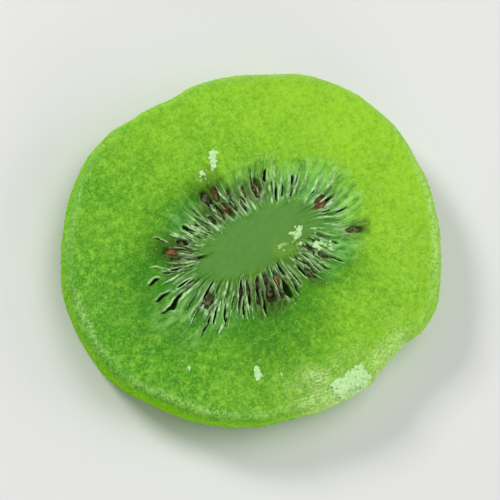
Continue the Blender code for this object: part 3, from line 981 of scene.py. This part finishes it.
def grain_beds(body):
    """The faces that sugar lies on, each with how much of it: none low down, on the core or in a dark gap."""
    mesh = body.data
    marks = {}
    for name in ("side", "out", "frost", "slit", "bare"):
        marks[name] = np.zeros(len(mesh.vertices))
        mesh.attributes[name].data.foreach_get("value", marks[name])
    beds = {"top": [], "rim": [], "under": []}
    for face, corners in in_place_order(mesh):
        side, out, frost, slit, bare = (values[corners[0][1]] for values in marks.values())
        if face.center.z < GRAIN_CLEAR:
            continue
        if side > 0.5:
            beds["rim"].append((face, corners, 0.6 + 2.0 * frost_share(face.center)))
        elif face.normal.z <= 0.0:
            beds["under"].append((face, corners, 1.0))
        elif out >= 1.0 and slit + bare <= 0.05:
            dusted = 0.06 + 0.94 * smooth_step(3.5, 9.0, out)
            beds["top"].append((face, corners, dusted * (0.8 + 6.0 * frost)))
    return beds


def sugar_grains(body):
    """Fine grains of sugar over the whole skin, thicker where it is frosted."""
    rule = random.Random(GRAIN_DRAW)
    placings, shades = [], []
    for name, bed in grain_beds(body).items():
        weights = [face.area * weight for face, _, weight in bed]
        for face, corners, _ in rule.choices(bed, weights, k=GRAIN_COUNTS[name]):
            length = between(*GRAIN_LENGTHS, rule.random() ** 2.5)
            spin = Euler([rule.uniform(0.0, TURN) for _ in range(3)]).to_matrix().to_4x4()
            mix = [rule.random() for _ in corners]
            shares = [part / sum(mix) for part in mix]
            point = sum((Vector(place) * share for (place, _), share in zip(corners, shares)), Vector())
            point = point + face.normal * length * rule.uniform(-GRAIN_SUNK, 0.0)
            placings.append(Matrix.Translation(point) @ spin @ Matrix.Scale(length, 4))
            shades.append(GRAIN_SHADE * rule.random() ** 3.0 + GRAIN_SHADE * frost_share(face.center))
    return scattered("sugar_grains", crystal_shape(), placings, shades)


# Crumbs of caked sugar and dried juice. The dust lies by the torn rim, round a direction in degrees. CLUMPS
# are places in millimetres, each with its spread along and across, how many crumbs and how pale they are.
CAKE_CRUMBS = 260
CAKE_SIZES = (0.22 * MM, 0.75 * MM)
CAKE_PALE = 0.95
DUST_CRUMBS = 420
DUST_SIZES = (0.14 * MM, 0.34 * MM)
DUST_MIDDLE = 257.0
DUST_SPREAD = 9.0
DUST_BELT = (0.3 * MM, 7.0 * MM)
DUST_PALES = (0.7, 1.0)
CLUMPS = (
    (5.1, -2.2, 0.8, 0.45, 16, 0.9), (6.1, -4.9, 0.75, 0.65, 18, 0.95), (7.2, -6.5, 0.4, 0.35, 6, 0.85),
    (3.8, -3.1, 0.9, 0.8, 12, 0.25), (3.2, -4.4, 0.9, 0.7, 8, 0.2), (1.9, -2.2, 0.6, 0.4, 4, 0.4),
    (3.6, 11.4, 0.66, 0.28, 44, 1.0), (1.2, 10.8, 0.36, 0.28, 24, 1.0), (0.4, 10.4, 0.22, 0.18, 10, 0.9),
    (-16.9, -5.0, 0.26, 0.18, 12, 0.9), (-11.1, -11.2, 0.55, 0.24, 30, 0.95),
    (-9.0, -13.4, 0.26, 0.18, 10, 0.85),
)
CLUMP_TURN = math.radians(50.0)
CLUMP_SIZES = (0.35 * MM, 0.85 * MM)
CLUMP_SPREAD = 0.8
CRUMB_DENTS = 0.9
CRUMB_TILT = 0.3
PALE_SPREAD = 0.12
MELT_SIZE = 0.06 * MM


def crumb_shape():
    """A rough lump, flatter than it is wide."""
    deselect()
    bpy.ops.mesh.primitive_ico_sphere_add(subdivisions=2, radius=0.5)
    crumb = stretch(bpy.context.object, (1.0, 0.7, 0.42))
    for vertex in crumb.data.vertices:
        vertex.co *= 1.0 + CRUMB_DENTS * noise.noise(vertex.co * 4.3)
    return crumb


def inside_rim(direction, inward):
    """A place in a direction, some way in from the rim."""
    reach = outline_radius(direction) - inward
    return Vector((reach * math.cos(direction), reach * math.sin(direction), 0.0))


def crumb_spots(rule):
    """(place, size, shade) of each crumb: in the cake at the rim, in the dust by it, and in the clumps."""
    for _ in range(CAKE_CRUMBS):
        spot = inside_rim(rule.uniform(CAKE_FROM, CAKE_TO), rule.uniform(0.2 * MM, CAKE_WIDTH))
        if cake_share(spot) > 0.4:
            yield spot, rule.uniform(*CAKE_SIZES), CAKE_PALE
    for _ in range(DUST_CRUMBS):
        spot = inside_rim(math.radians(rule.gauss(DUST_MIDDLE, DUST_SPREAD)), rule.uniform(*DUST_BELT))
        if frost_share(spot) > 0.5:
            yield spot, rule.uniform(*DUST_SIZES), rule.uniform(*DUST_PALES)
    turned = Matrix.Rotation(CLUMP_TURN, 3, "Z")
    for x, y, along, aside, count, shade in CLUMPS:
        middle = Vector((MM * x, MM * y, 0.0))
        for _ in range(count):
            spread = Vector([MM * far * rule.gauss(0.0, CLUMP_SPREAD) for far in (along, aside)] + [0.0])
            size = rule.uniform(*CLUMP_SIZES) * min(1.0, 1.4 * along)
            yield middle + turned @ spread, size, shade


def crumbs(skin):
    """The caked sugar and the crumbs, which run together where they touch."""
    rule = random.Random(CRUMB_DRAW)
    placings, spots, pales = [], [], []
    for spot, size, shade in crumb_spots(rule):
        point = on_face([skin], spot, TOP) + Vector((0.0, 0.0, 0.02 * size))
        tilts = [rule.gauss(0.0, CRUMB_TILT) for _ in range(2)]
        spin = Euler((*tilts, rule.uniform(0.0, TURN))).to_matrix().to_4x4()
        placings.append(Matrix.Translation(point) @ spin @ Matrix.Scale(size, 4))
        spots.append(point)
        pales.append(min(1.0, max(0.0, shade + rule.gauss(0.0, PALE_SPREAD))))
    piece = scattered("crumbs", crumb_shape(), placings, pales)
    melt = piece.modifiers.new("run_together", "REMESH")
    melt.mode = "VOXEL"
    melt.voxel_size = MELT_SIZE
    soften = piece.modifiers.new("soften", "SMOOTH")
    soften.iterations = 2
    select_only(piece)
    for name in (melt.name, soften.name):
        bpy.ops.object.modifier_apply(modifier=name)
    finder = KDTree(len(spots))
    for number, spot in enumerate(spots):
        finder.insert(spot, number)
    finder.balance()
    paint(piece.data, "shade", [pales[finder.find(vertex.co)[1]] for vertex in piece.data.vertices])
    piece.data.shade_smooth()
    return piece


# ---- Materials.
def math_operator(operation, swapped=False):
    """An operator of Value that adds a Math node."""
    def apply(self, other):
        return self.maths(operation, *((other, self) if swapped else (self, other)))

    return apply


class Value:
    """A number that varies over a surface. Its operators add Math nodes."""

    def __init__(self, look, socket):
        self.look = look
        self.socket = socket

    def maths(self, operation, *parts):
        return self.look.node("ShaderNodeMath", {"operation": operation}, dict(enumerate(parts)))

    __add__, __radd__ = math_operator("ADD"), math_operator("ADD", swapped=True)
    __sub__, __rsub__ = math_operator("SUBTRACT"), math_operator("SUBTRACT", swapped=True)
    __mul__, __rmul__ = math_operator("MULTIPLY"), math_operator("MULTIPLY", swapped=True)

    def size(self):
        """The number without its sign."""
        return self.maths("ABSOLUTE", self)

    def between(self, low, high):
        """0 below low and 1 above high, evenly between them."""
        return self.look.node("ShaderNodeMapRange", {"clamp": True},
                              {"Value": self, "From Min": low, "From Max": high})


class Look:
    """A material, built node by node around one Principled shader."""

    def __init__(self, name, finish):
        self.material = bpy.data.materials.new(name)
        self.material.use_nodes = True
        self.tree = self.material.node_tree
        self.shader = self.tree.nodes["Principled BSDF"]
        for socket, value in finish.items():
            self.shader.inputs[socket].default_value = value

    def feed(self, socket, value):
        """Links a socket to a Value, or sets it to a constant."""
        if isinstance(value, Value):
            self.tree.links.new(value.socket, socket)
        else:
            socket.default_value = value

    def node(self, kind, settings=None, sockets=None, output=0):
        """One node: its settings first, then what its sockets take. Gives one of its outputs."""
        made = self.tree.nodes.new(kind)
        for name, value in (settings or {}).items():
            setattr(made, name, value)
        for name, value in (sockets or {}).items():
            self.feed(made.inputs[name], value)
        return Value(self, made.outputs[output])

    def attribute(self, name, output="Fac"):
        """What is painted on the mesh under a name."""
        return self.node("ShaderNodeAttribute", {"attribute_name": name}, output=output)

    def place(self):
        """The place in the piece's own frame, in metres."""
        return self.node("ShaderNodeTexCoord", output="Object")

    def part(self, vector, axis):
        """One of a vector's three parts."""
        return self.node("ShaderNodeSeparateXYZ", None, {0: vector}, output=axis)

    def drawn_out(self, vector, share):
        """The spool's places with the way out shortened to a share, so that a pattern runs along it."""
        return self.node("ShaderNodeMapping", None, {"Vector": vector, "Scale": (1.0, 1.0, share)})

    def noise(self, place, size, detail=2.0, rough=0.5):
        """Noise of about 0 to 1 with features of one size, in metres."""
        return self.node("ShaderNodeTexNoise", None,
                         {"Vector": place, "Scale": 1.0 / size, "Detail": detail, "Roughness": rough})

    def cells(self, place, size, output):
        """Grains of one size, in metres: the Distance to a grain's middle, or a random Color for each."""
        return self.node("ShaderNodeTexVoronoi", None, {"Vector": place, "Scale": 1.0 / size}, output=output)

    def mix(self, factor, one, other):
        """One colour turning to the other as the factor goes from 0 to 1."""
        return self.node("ShaderNodeMix", {"data_type": "RGBA"}, {0: factor, 6: one, 7: other}, output=2)

    def layers(self, tone, rows):
        """Colours laid over a tone one after another, each with how much of it there is."""
        for factor, over in rows:
            tone = self.mix(factor, tone, over)
        return tone

    def bump(self, height, depth):
        """A normal from a height of 0 to 1, that many metres deep."""
        return self.node("ShaderNodeBump", None, {"Height": height, "Distance": depth, "Strength": 1.0})

    def surface(self, **parts):
        """Links the shader's sockets, with _ for a space in their names, and gives the material."""
        for name, value in parts.items():
            self.feed(self.shader.inputs[name.replace("_", " ")], value)
        return self.material


def colour(red, green, blue):
    """A linear colour from its three display values of 0 to 255."""
    def linear(value):
        value /= 255.0
        return value / 12.92 if value <= 0.04045 else ((value + 0.055) / 1.055) ** 2.4

    return linear(red), linear(green), linear(blue), 1.0


# Painted light: the flesh where it seems lit through from behind.
BACKLIT_FLESH = colour(158, 217, 40)
DEEP_FLESH = colour(80, 164, 26)
LOW_FLESH = colour(36, 125, 24)
FLECK_GREEN = colour(168, 226, 70)
SPECK_GREEN = colour(182, 232, 92)
SHADE_GREEN = colour(58, 127, 22)
SIDE_GREEN = colour(110, 195, 0)
# Painted shade: the side's green towards +Y.
SIDE_SHADE = colour(92, 178, 0)
SIDE_FLECK = colour(176, 224, 30)
# Painted glow of the side, as if lit through.
SIDE_LIT = colour(8, 28, 0)
VEIL_DEEP = colour(80, 130, 56)
# The veil where the painted light from behind falls.
VEIL_BACKLIT = colour(124, 176, 86)
CORE_GREEN = colour(82, 143, 40)
CORE_YELLOW = colour(96, 150, 24)
CORE_PALE = colour(102, 158, 66)
FEATHER_GREEN = colour(148, 224, 124)
# The walls' own pale, and a grey one where seeds crowd; both are also painted as highlights beside slits and
# fingers.
WALL_AND_HIGHLIGHT_GREEN = colour(198, 238, 178)
WALL_GREY = colour(140, 160, 116)
SHADOW_OLIVE = colour(54, 76, 26)
# Painted shade between the fan's fingers.
VALLEY_SHADE = colour(26, 76, 8)
BARE_BROWN = colour(42, 50, 14)
POCKET_TEAL = colour(48, 126, 72)
PIT_BROWN = colour(50, 42, 14)
NET_PALE = colour(138, 164, 104)
# Frost with a painted sheen on the rim's edge.
RIM_FROST_AND_SHEEN = colour(148, 192, 126)
MOSS_GREEN = colour(116, 164, 30)
THREAD_GREEN = colour(180, 232, 134)
# Painted shade in the slits.
SLIT_SHADE = colour(14, 42, 2)
FROST_GREEN = colour(222, 255, 148)
# A painted highlight on the rim's crest.
CREST_HIGHLIGHT = colour(198, 236, 158)
SEED_BLACK = colour(20, 18, 4)
SEED_BROWN = colour(70, 56, 30)
SEED_RED = colour(134, 62, 24)
SEED_FILM = colour(108, 128, 80)
THREAD_DEEP = colour(104, 168, 78)
THREAD_PALE = colour(192, 230, 164)
SUGAR_DEEP = colour(104, 180, 54)
# Sugar where the painted light from behind falls.
SUGAR_BACKLIT = colour(162, 218, 66)
SUGAR_PALE = colour(194, 248, 150)
JUICE_GREEN = colour(100, 152, 44)
CAKE_WHITE = colour(210, 248, 184)
CAKE_SHADE = colour(140, 204, 70)
BLACK = colour(0, 0, 0)


# How far across the face the painted light from behind grows.
BACKLIT_REACH = 42.0 * MM
NORTH_SHARE = 0.04
PATCH_SIZE = 5.0 * MM
STREAK_SIZE = 0.45 * MM
FINE_SIZE = 0.34 * MM
FLECK_SIZE = 0.8 * MM
CRYSTAL_SIZE = 0.22 * MM
DOWN_SIZE = 0.95 * MM
TONGUE_SIZE = 1.2 * MM
NET_SIZE = 0.75 * MM
# Over how far the side's painted shade grows towards +Y.
SIDE_NORTH = 9.0 * MM
SKIN_BUMPS = 0.055 * MM


def soft(weight, reach, scale):
    """Settings of a finish that light sinks into: how much of it, how far for each colour, and the scale."""
    return {"Subsurface Weight": weight, "Subsurface Radius": reach, "Subsurface Scale": scale}


def flesh_look():
    """Candied flesh: translucent, brighter to one side by painted light, deeper green round the seeds, dusted
    with sugar, with painted shade, painted highlights and a painted glow.
    """
    look = Look("candied_flesh", {
        **soft(0.35, (0.9, 1.0, 0.25), 0.4 * MM),
        "IOR": 1.45,
        "Specular IOR Level": 0.0,
        "Coat IOR": 1.4,
        "Coat Roughness": 0.3,
        "Emission Strength": 1.0,
    })
    place = look.place()
    spooled = look.attribute("spool", "Vector")
    slit, wall, bare, shadow, valley_shade, core, side, out, deep, feather, murk, moss, crest_highlight, frost, rim_frost_and_sheen = (
        look.attribute(name) for name in MARKS)
    east, north = look.part(place, 0), look.part(place, 1)

    # Patterns that the colours share: the larger ones first, then streaks along the band's lines, and grain.
    patches = look.noise(place, PATCH_SIZE, 3.0)
    fleck = look.noise(place, FLECK_SIZE, 2.0, 0.6)
    fine = look.noise(place, FINE_SIZE, 3.0, 0.7)
    streak = look.noise(look.drawn_out(spooled, 0.18), STREAK_SIZE, 3.0, 0.65)
    tongue = look.noise(look.drawn_out(spooled, 0.14), TONGUE_SIZE, 1.5)
    grain = look.cells(place, CRYSTAL_SIZE, "Distance")
    lot = look.part(look.cells(place, CRYSTAL_SIZE, "Color"), 0)

    # Where the skin is plain flesh; its brighter side, painted light as if lit through from behind; how far
    # the darker green round the core reaches; and the painted shade on the side towards +Y.
    open_skin = (1.0 - core) * out.between(2.0, 6.5)
    across = (east + north * NORTH_SHARE) * (1.0 / BACKLIT_REACH)
    backlit = (across + 0.5 + (patches - 0.5) * 0.8).between(0.0, 1.0)
    near_core = (deep + (streak - 0.5) * 0.7 + (patches - 0.5) * 0.5).between(0.0, 0.5)
    sparse = open_skin * (1.0 - near_core * 0.6)
    north_shade = north.between(0.0, SIDE_NORTH)

    # The pale plumes beyond the band: down, fine lines and darker pockets between them.
    plume = (feather + (tongue - 0.5) * feather * 1.6).between(0.15, 0.85)
    pocket = out.between(2.5, 4.5) * (1.0 - out.between(5.0, 8.0)) * feather.between(0.1, 0.5)
    down = (streak * 0.6 + look.noise(place, DOWN_SIZE, 3.0, 0.6) * 0.4 - 0.43).between(0.0, 0.16)
    lines = 1.0 - (tongue - 0.5).size().between(0.004, 0.04)
    lines = lines * feather.between(0.05, 0.5) * out.between(1.5, 3.5) * streak.between(0.3, 0.55)

    # The murk over crowded seeds: brown pits in a pale net.
    netting = look.drawn_out(spooled, 0.55)
    net = look.node("ShaderNodeTexVoronoi", {"feature": "DISTANCE_TO_EDGE"},
                    {"Vector": netting, "Scale": 1.0 / NET_SIZE})
    murky = look.mix(look.part(look.cells(netting, NET_SIZE, "Color"), 0), PIT_BROWN, SHADOW_OLIVE)
    murky = look.mix((1.0 - net.between(0.03, 0.14)) * 0.8, murky, NET_PALE)

    heart = look.layers(CORE_GREEN, (
        ((patches - 0.5).between(0.0, 0.3) * 0.6, CORE_YELLOW),
        ((fleck - 0.45).between(0.0, 0.3) * 0.35, CORE_PALE),
    ))
    # The veil follows the painted light from behind.
    veil = look.mix(backlit, VEIL_DEEP, VEIL_BACKLIT)
    # The side's green turns darker towards +Y, a painted shade.
    lime = look.mix(north_shade, SIDE_GREEN, SIDE_SHADE)
    pale = look.mix(murk * 0.75, WALL_AND_HIGHLIGHT_GREEN, WALL_GREY)
    tone = look.layers(DEEP_FLESH, (
        # Painted light: brighter and yellower towards +X, as if lit through from behind, in patches of random
        # tone.
        (backlit, BACKLIT_FLESH),
        (near_core * 0.8, LOW_FLESH),
        ((1.0 - out.between(1.5, 5.0)) * (0.4 + streak * 0.8).between(0.0, 1.0) * 0.85, veil),
        ((0.55 - streak).between(0.0, 0.15) * pocket * 0.7, POCKET_TEAL),
        (down * plume * 0.8, FEATHER_GREEN),
        (lines * 0.65, THREAD_GREEN),
        ((0.52 - fine).between(0.0, 0.22) * open_skin * (0.62 - backlit * 0.37), SHADE_GREEN),
        ((fine - 0.5).between(0.0, 0.25) * sparse * 0.42, FLECK_GREEN),
        ((0.47 - fleck).between(0.0, 0.15) * open_skin * 0.22, SHADE_GREEN),
        ((fleck - 0.5).between(0.0, 0.2) * sparse * 0.5, FLECK_GREEN),
        ((lot - 0.6).between(0.0, 0.35) * sparse * 0.30, SPECK_GREEN),
        # The side's green, with its painted shade towards +Y.
        (side * (1.25 - fine * 0.6).between(0.0, 1.0) * 0.9, lime),
        ((lot * 0.5 + fine - 0.75).between(0.0, 0.25) * side * 0.75, SIDE_FLECK),
        # Frost and a painted sheen along the rim's edge.
        (rim_frost_and_sheen * (0.35 + patches * 0.8).between(0.0, 1.0) * (1.0 - side), RIM_FROST_AND_SHEEN),
        (core, heart),
        (murk * (1.3 - streak).between(0.3, 1.0) * 0.85, murky),
        (shadow * (1.4 - streak).between(0.5, 1.0) * 0.65, SHADOW_OLIVE),
        # Painted shade in the creases between the fan's fingers.
        (valley_shade * (1.4 - streak).between(0.4, 1.0) * 0.95, VALLEY_SHADE),
        (moss.between(0.05, 0.8) * (fine * 1.6).between(0.3, 1.0) * 0.75, MOSS_GREEN),
        (bare * 0.9, BARE_BROWN),
        # The walls' pale: their own colour, with painted highlights along one side of each slit and each
        # finger.
        ((wall * (0.5 + streak)).between(0.05, 0.7) * 0.95, pale),
        # Painted shade in the slits.
        (slit.between(0.05, 0.6) * 0.95, SLIT_SHADE),
        # A painted highlight along the rim's crest, speckled like glints.
        (crest_highlight * (lot * 0.9 + fleck * 0.6).between(0.4, 0.95) * 0.95, CREST_HIGHLIGHT),
        # Sugar frost, paler also along the torn edge as a painted highlight.
        (frost * 0.95 * (lot * 0.6 + fine * 0.9).between(0.2, 0.85), FROST_GREEN),
    ))
    height = (1.0 - grain) * (0.15 + 0.85 * open_skin) + fine * 0.6 + lines * 0.9
    height = height - murk * (1.0 - net.between(0.0, 0.2))
    # Painted glow: the side gives out light of its own, as if lit through; less towards +Y, a painted shade,
    # and where frosted.
    glow = side * (1.0 - frost * 0.6) * (1.0 - north_shade * 0.8)
    return look.surface(
        Base_Color=tone,
        Roughness=0.4 + 0.25 * fine,
        Coat_Weight=0.5 * core + 0.12 * (1.0 - (side + slit + valley_shade).between(0.0, 1.0)),
        Emission_Color=look.mix(glow, BLACK, SIDE_LIT),
        Normal=look.bump(height, SKIN_BUMPS),
    )


def seed_look():
    """Seed coats: dark brown to black, some reddish, some under a pale film, with a dull gloss."""
    look = Look("seed_coat", {"Coat Weight": 0.05, "Coat Roughness": 0.35, "Specular IOR Level": 0.2})
    place = look.place()
    red = look.attribute("shade").between(0.15, 0.9)
    mottle = look.noise(place, 0.3 * MM, 3.0, 0.6)
    film = look.noise(place, 0.5 * MM, 3.0, 0.6)
    tone = look.layers(SEED_BLACK, (
        (mottle.between(0.38, 0.62), SEED_BROWN),
        (red * mottle.between(0.3, 0.5), SEED_RED),
        ((film - 0.48).between(0.0, 0.12) * 0.75, SEED_FILM),
    ))
    return look.surface(Base_Color=tone, Roughness=0.38 + 0.25 * mottle,
                        Normal=look.bump(look.noise(place, 0.12 * MM, 1.0), 0.03 * MM))


def thread_look():
    """Threads: pale, moist and a little translucent."""
    look = Look("thread", soft(0.3, (0.9, 1.0, 0.6), 0.2 * MM))
    tint = look.noise(look.place(), 0.6 * MM, 3.0)
    return look.surface(Base_Color=look.mix(tint.between(0.4, 0.6), THREAD_DEEP, THREAD_PALE),
                        Roughness=0.3 + 0.15 * tint)


def sugar_look():
    """Sugar: clear grains that take the tint of the fruit under them."""
    look = Look("sugar", {"IOR": 1.54, "Specular IOR Level": 0.2, **soft(0.6, (0.9, 1.0, 0.4), 0.2 * MM)})
    shade = look.attribute("shade")
    # Painted light: the grains turn brighter towards +X, like the flesh under them.
    backlit = (look.part(look.place(), 0) * (1.0 / BACKLIT_REACH) + 0.5).between(0.0, 1.0)
    tone = look.layers(SUGAR_DEEP, ((backlit, SUGAR_BACKLIT), (shade, SUGAR_PALE)))
    return look.surface(Base_Color=tone, Roughness=0.4 + 0.2 * shade)


def crumb_look():
    """Caked sugar and dried juice: pale, dull and grainy."""
    look = Look("caked_sugar", soft(0.3, (0.9, 1.0, 0.5), 0.3 * MM))
    grain = look.cells(look.place(), 0.2 * MM, "Distance")
    tone = look.layers(JUICE_GREEN, ((look.attribute("shade"), CAKE_WHITE), (grain * 0.3, CAKE_SHADE)))
    return look.surface(Base_Color=tone, Roughness=0.4 + 0.2 * grain,
                        Normal=look.bump(1.0 - grain, 0.03 * MM))


def dress(piece, material, slot):
    """Gives a piece its material, and lets it ride with the slice."""
    piece.data.materials.clear()
    piece.data.materials.append(material)
    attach(piece, "root")


def settle(pieces, body):
    """Moves all pieces so that the body's box stands where the solid's does."""
    corners = np.array([tuple(vertex.co) for vertex in body.data.vertices])
    low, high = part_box(SLICE)
    middle = (corners.min(0) + corners.max(0)) / 2.0
    target = (low + high) / 2.0
    shift = Vector((target.x - middle[0], target.y - middle[1], -corners[:, 2].min()))
    for piece in pieces:
        piece.data.transform(Matrix.Translation(shift))


# ---- The floor, the lights and the camera.
VIEW_TILT = math.radians(20.0)
VIEW_UP = Vector((1.0, 1.0, 0.0))
VIEW_DISTANCE = 0.42
VIEW_FILL = 0.80
SENSOR_WIDTH = 36.0
FLOOR_SIZE = 3.0
FLOOR_TONES = ((0.80, 0.80, 0.80, 1.0), (0.83, 0.83, 0.83, 1.0))
FLOOR_MOTTLE = 0.05
WORLD_LIGHT = 0.31

# Square lamps: the place from the slice's middle, the size, the power and the tint of each.
LAMPS = {
    "key": ((-0.10, 0.60, 0.42), 0.20, 3.0, (1.0, 0.99, 0.96)),
    "fill": ((-0.33, -0.74, 0.17), 0.50, 2.0, (1.0, 1.0, 0.92)),
    "side": ((0.50, -0.42, 0.34), 0.45, 1.2, (1.0, 1.0, 1.0)),
    "over": ((0.30, 0.05, 0.80), 0.50, 1.8, (1.0, 1.0, 1.0)),
}


def floor():
    """A plain pale floor."""
    deselect()
    bpy.ops.mesh.primitive_plane_add(size=FLOOR_SIZE)
    ground = bpy.context.object
    ground.name = "floor"
    look = Look("pale_floor", {"Roughness": 0.7})
    mottle = look.noise(look.place(), FLOOR_MOTTLE, 2.0)
    ground.data.materials.append(look.surface(Base_Color=look.mix(mottle, *FLOOR_TONES)))


def aimed(thing, place, target, up):
    """Puts a camera or light at a place, looking at a target, with up at the top of its view."""
    back = (place - target).normalized()
    right = up.cross(back).normalized()
    top = back.cross(right)
    turn = Matrix((right, top, back)).transposed().to_4x4()
    thing.matrix_world = Matrix.Translation(place) @ turn


def lamp(name, target, away, size, power, tint):
    """A soft square lamp that stands away from its target."""
    light = bpy.data.lights.new(name, "AREA")
    light.size = size
    light.energy = power
    light.color = tint
    aimed(placed(name, light), target + Vector(away), target, Vector((0.0, 0.1, 1.0)))


def stage():
    """Camera at the photo's angle to the slice's face, with soft studio light."""
    low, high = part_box(SLICE)
    middle = (low + high) / 2.0
    back = Vector((-math.sin(VIEW_TILT), 0.0, math.cos(VIEW_TILT)))
    lens = bpy.data.cameras.new("camera")
    lens.sensor_width = SENSOR_WIDTH
    lens.lens = SENSOR_WIDTH * VIEW_DISTANCE * VIEW_FILL / (high.x - low.x)
    lens.clip_start = 0.01
    camera = placed("camera", lens)
    aimed(camera, middle + back * VIEW_DISTANCE, middle, VIEW_UP)
    bpy.context.scene.camera = camera
    for name, settings in LAMPS.items():
        lamp(name, middle, *settings)
    world = bpy.data.worlds.new("studio")
    bpy.context.scene.world = world
    world.use_nodes = True
    light = world.node_tree.nodes["Background"].inputs
    light["Color"].default_value = (1.0, 1.0, 1.0, 1.0)
    light["Strength"].default_value = WORLD_LIGHT
    bpy.context.scene.view_settings.view_transform = "Standard"


def main():
    """Builds and dresses the pieces, and sets up the floor, the lights and the camera."""
    body = flesh_body()
    skin = skin_of(body)
    seed_piece = seeds(skin)
    pieces = {
        "flesh": (body, flesh_look(), "flesh"),
        "seeds": (seed_piece, seed_look(), "seed"),
        "threads": (threads([skin, skin_of(seed_piece)]), thread_look(), "fibre"),
        "grains": (sugar_grains(body), sugar_look(), "sugar"),
        "crumbs": (crumbs(skin), crumb_look(), "sugar"),
    }
    settle([piece for piece, _, _ in pieces.values()], body)
    for piece, material, slot in pieces.values():
        dress(piece, material, slot)
    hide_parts(SLICE)
    floor()
    stage()


main()
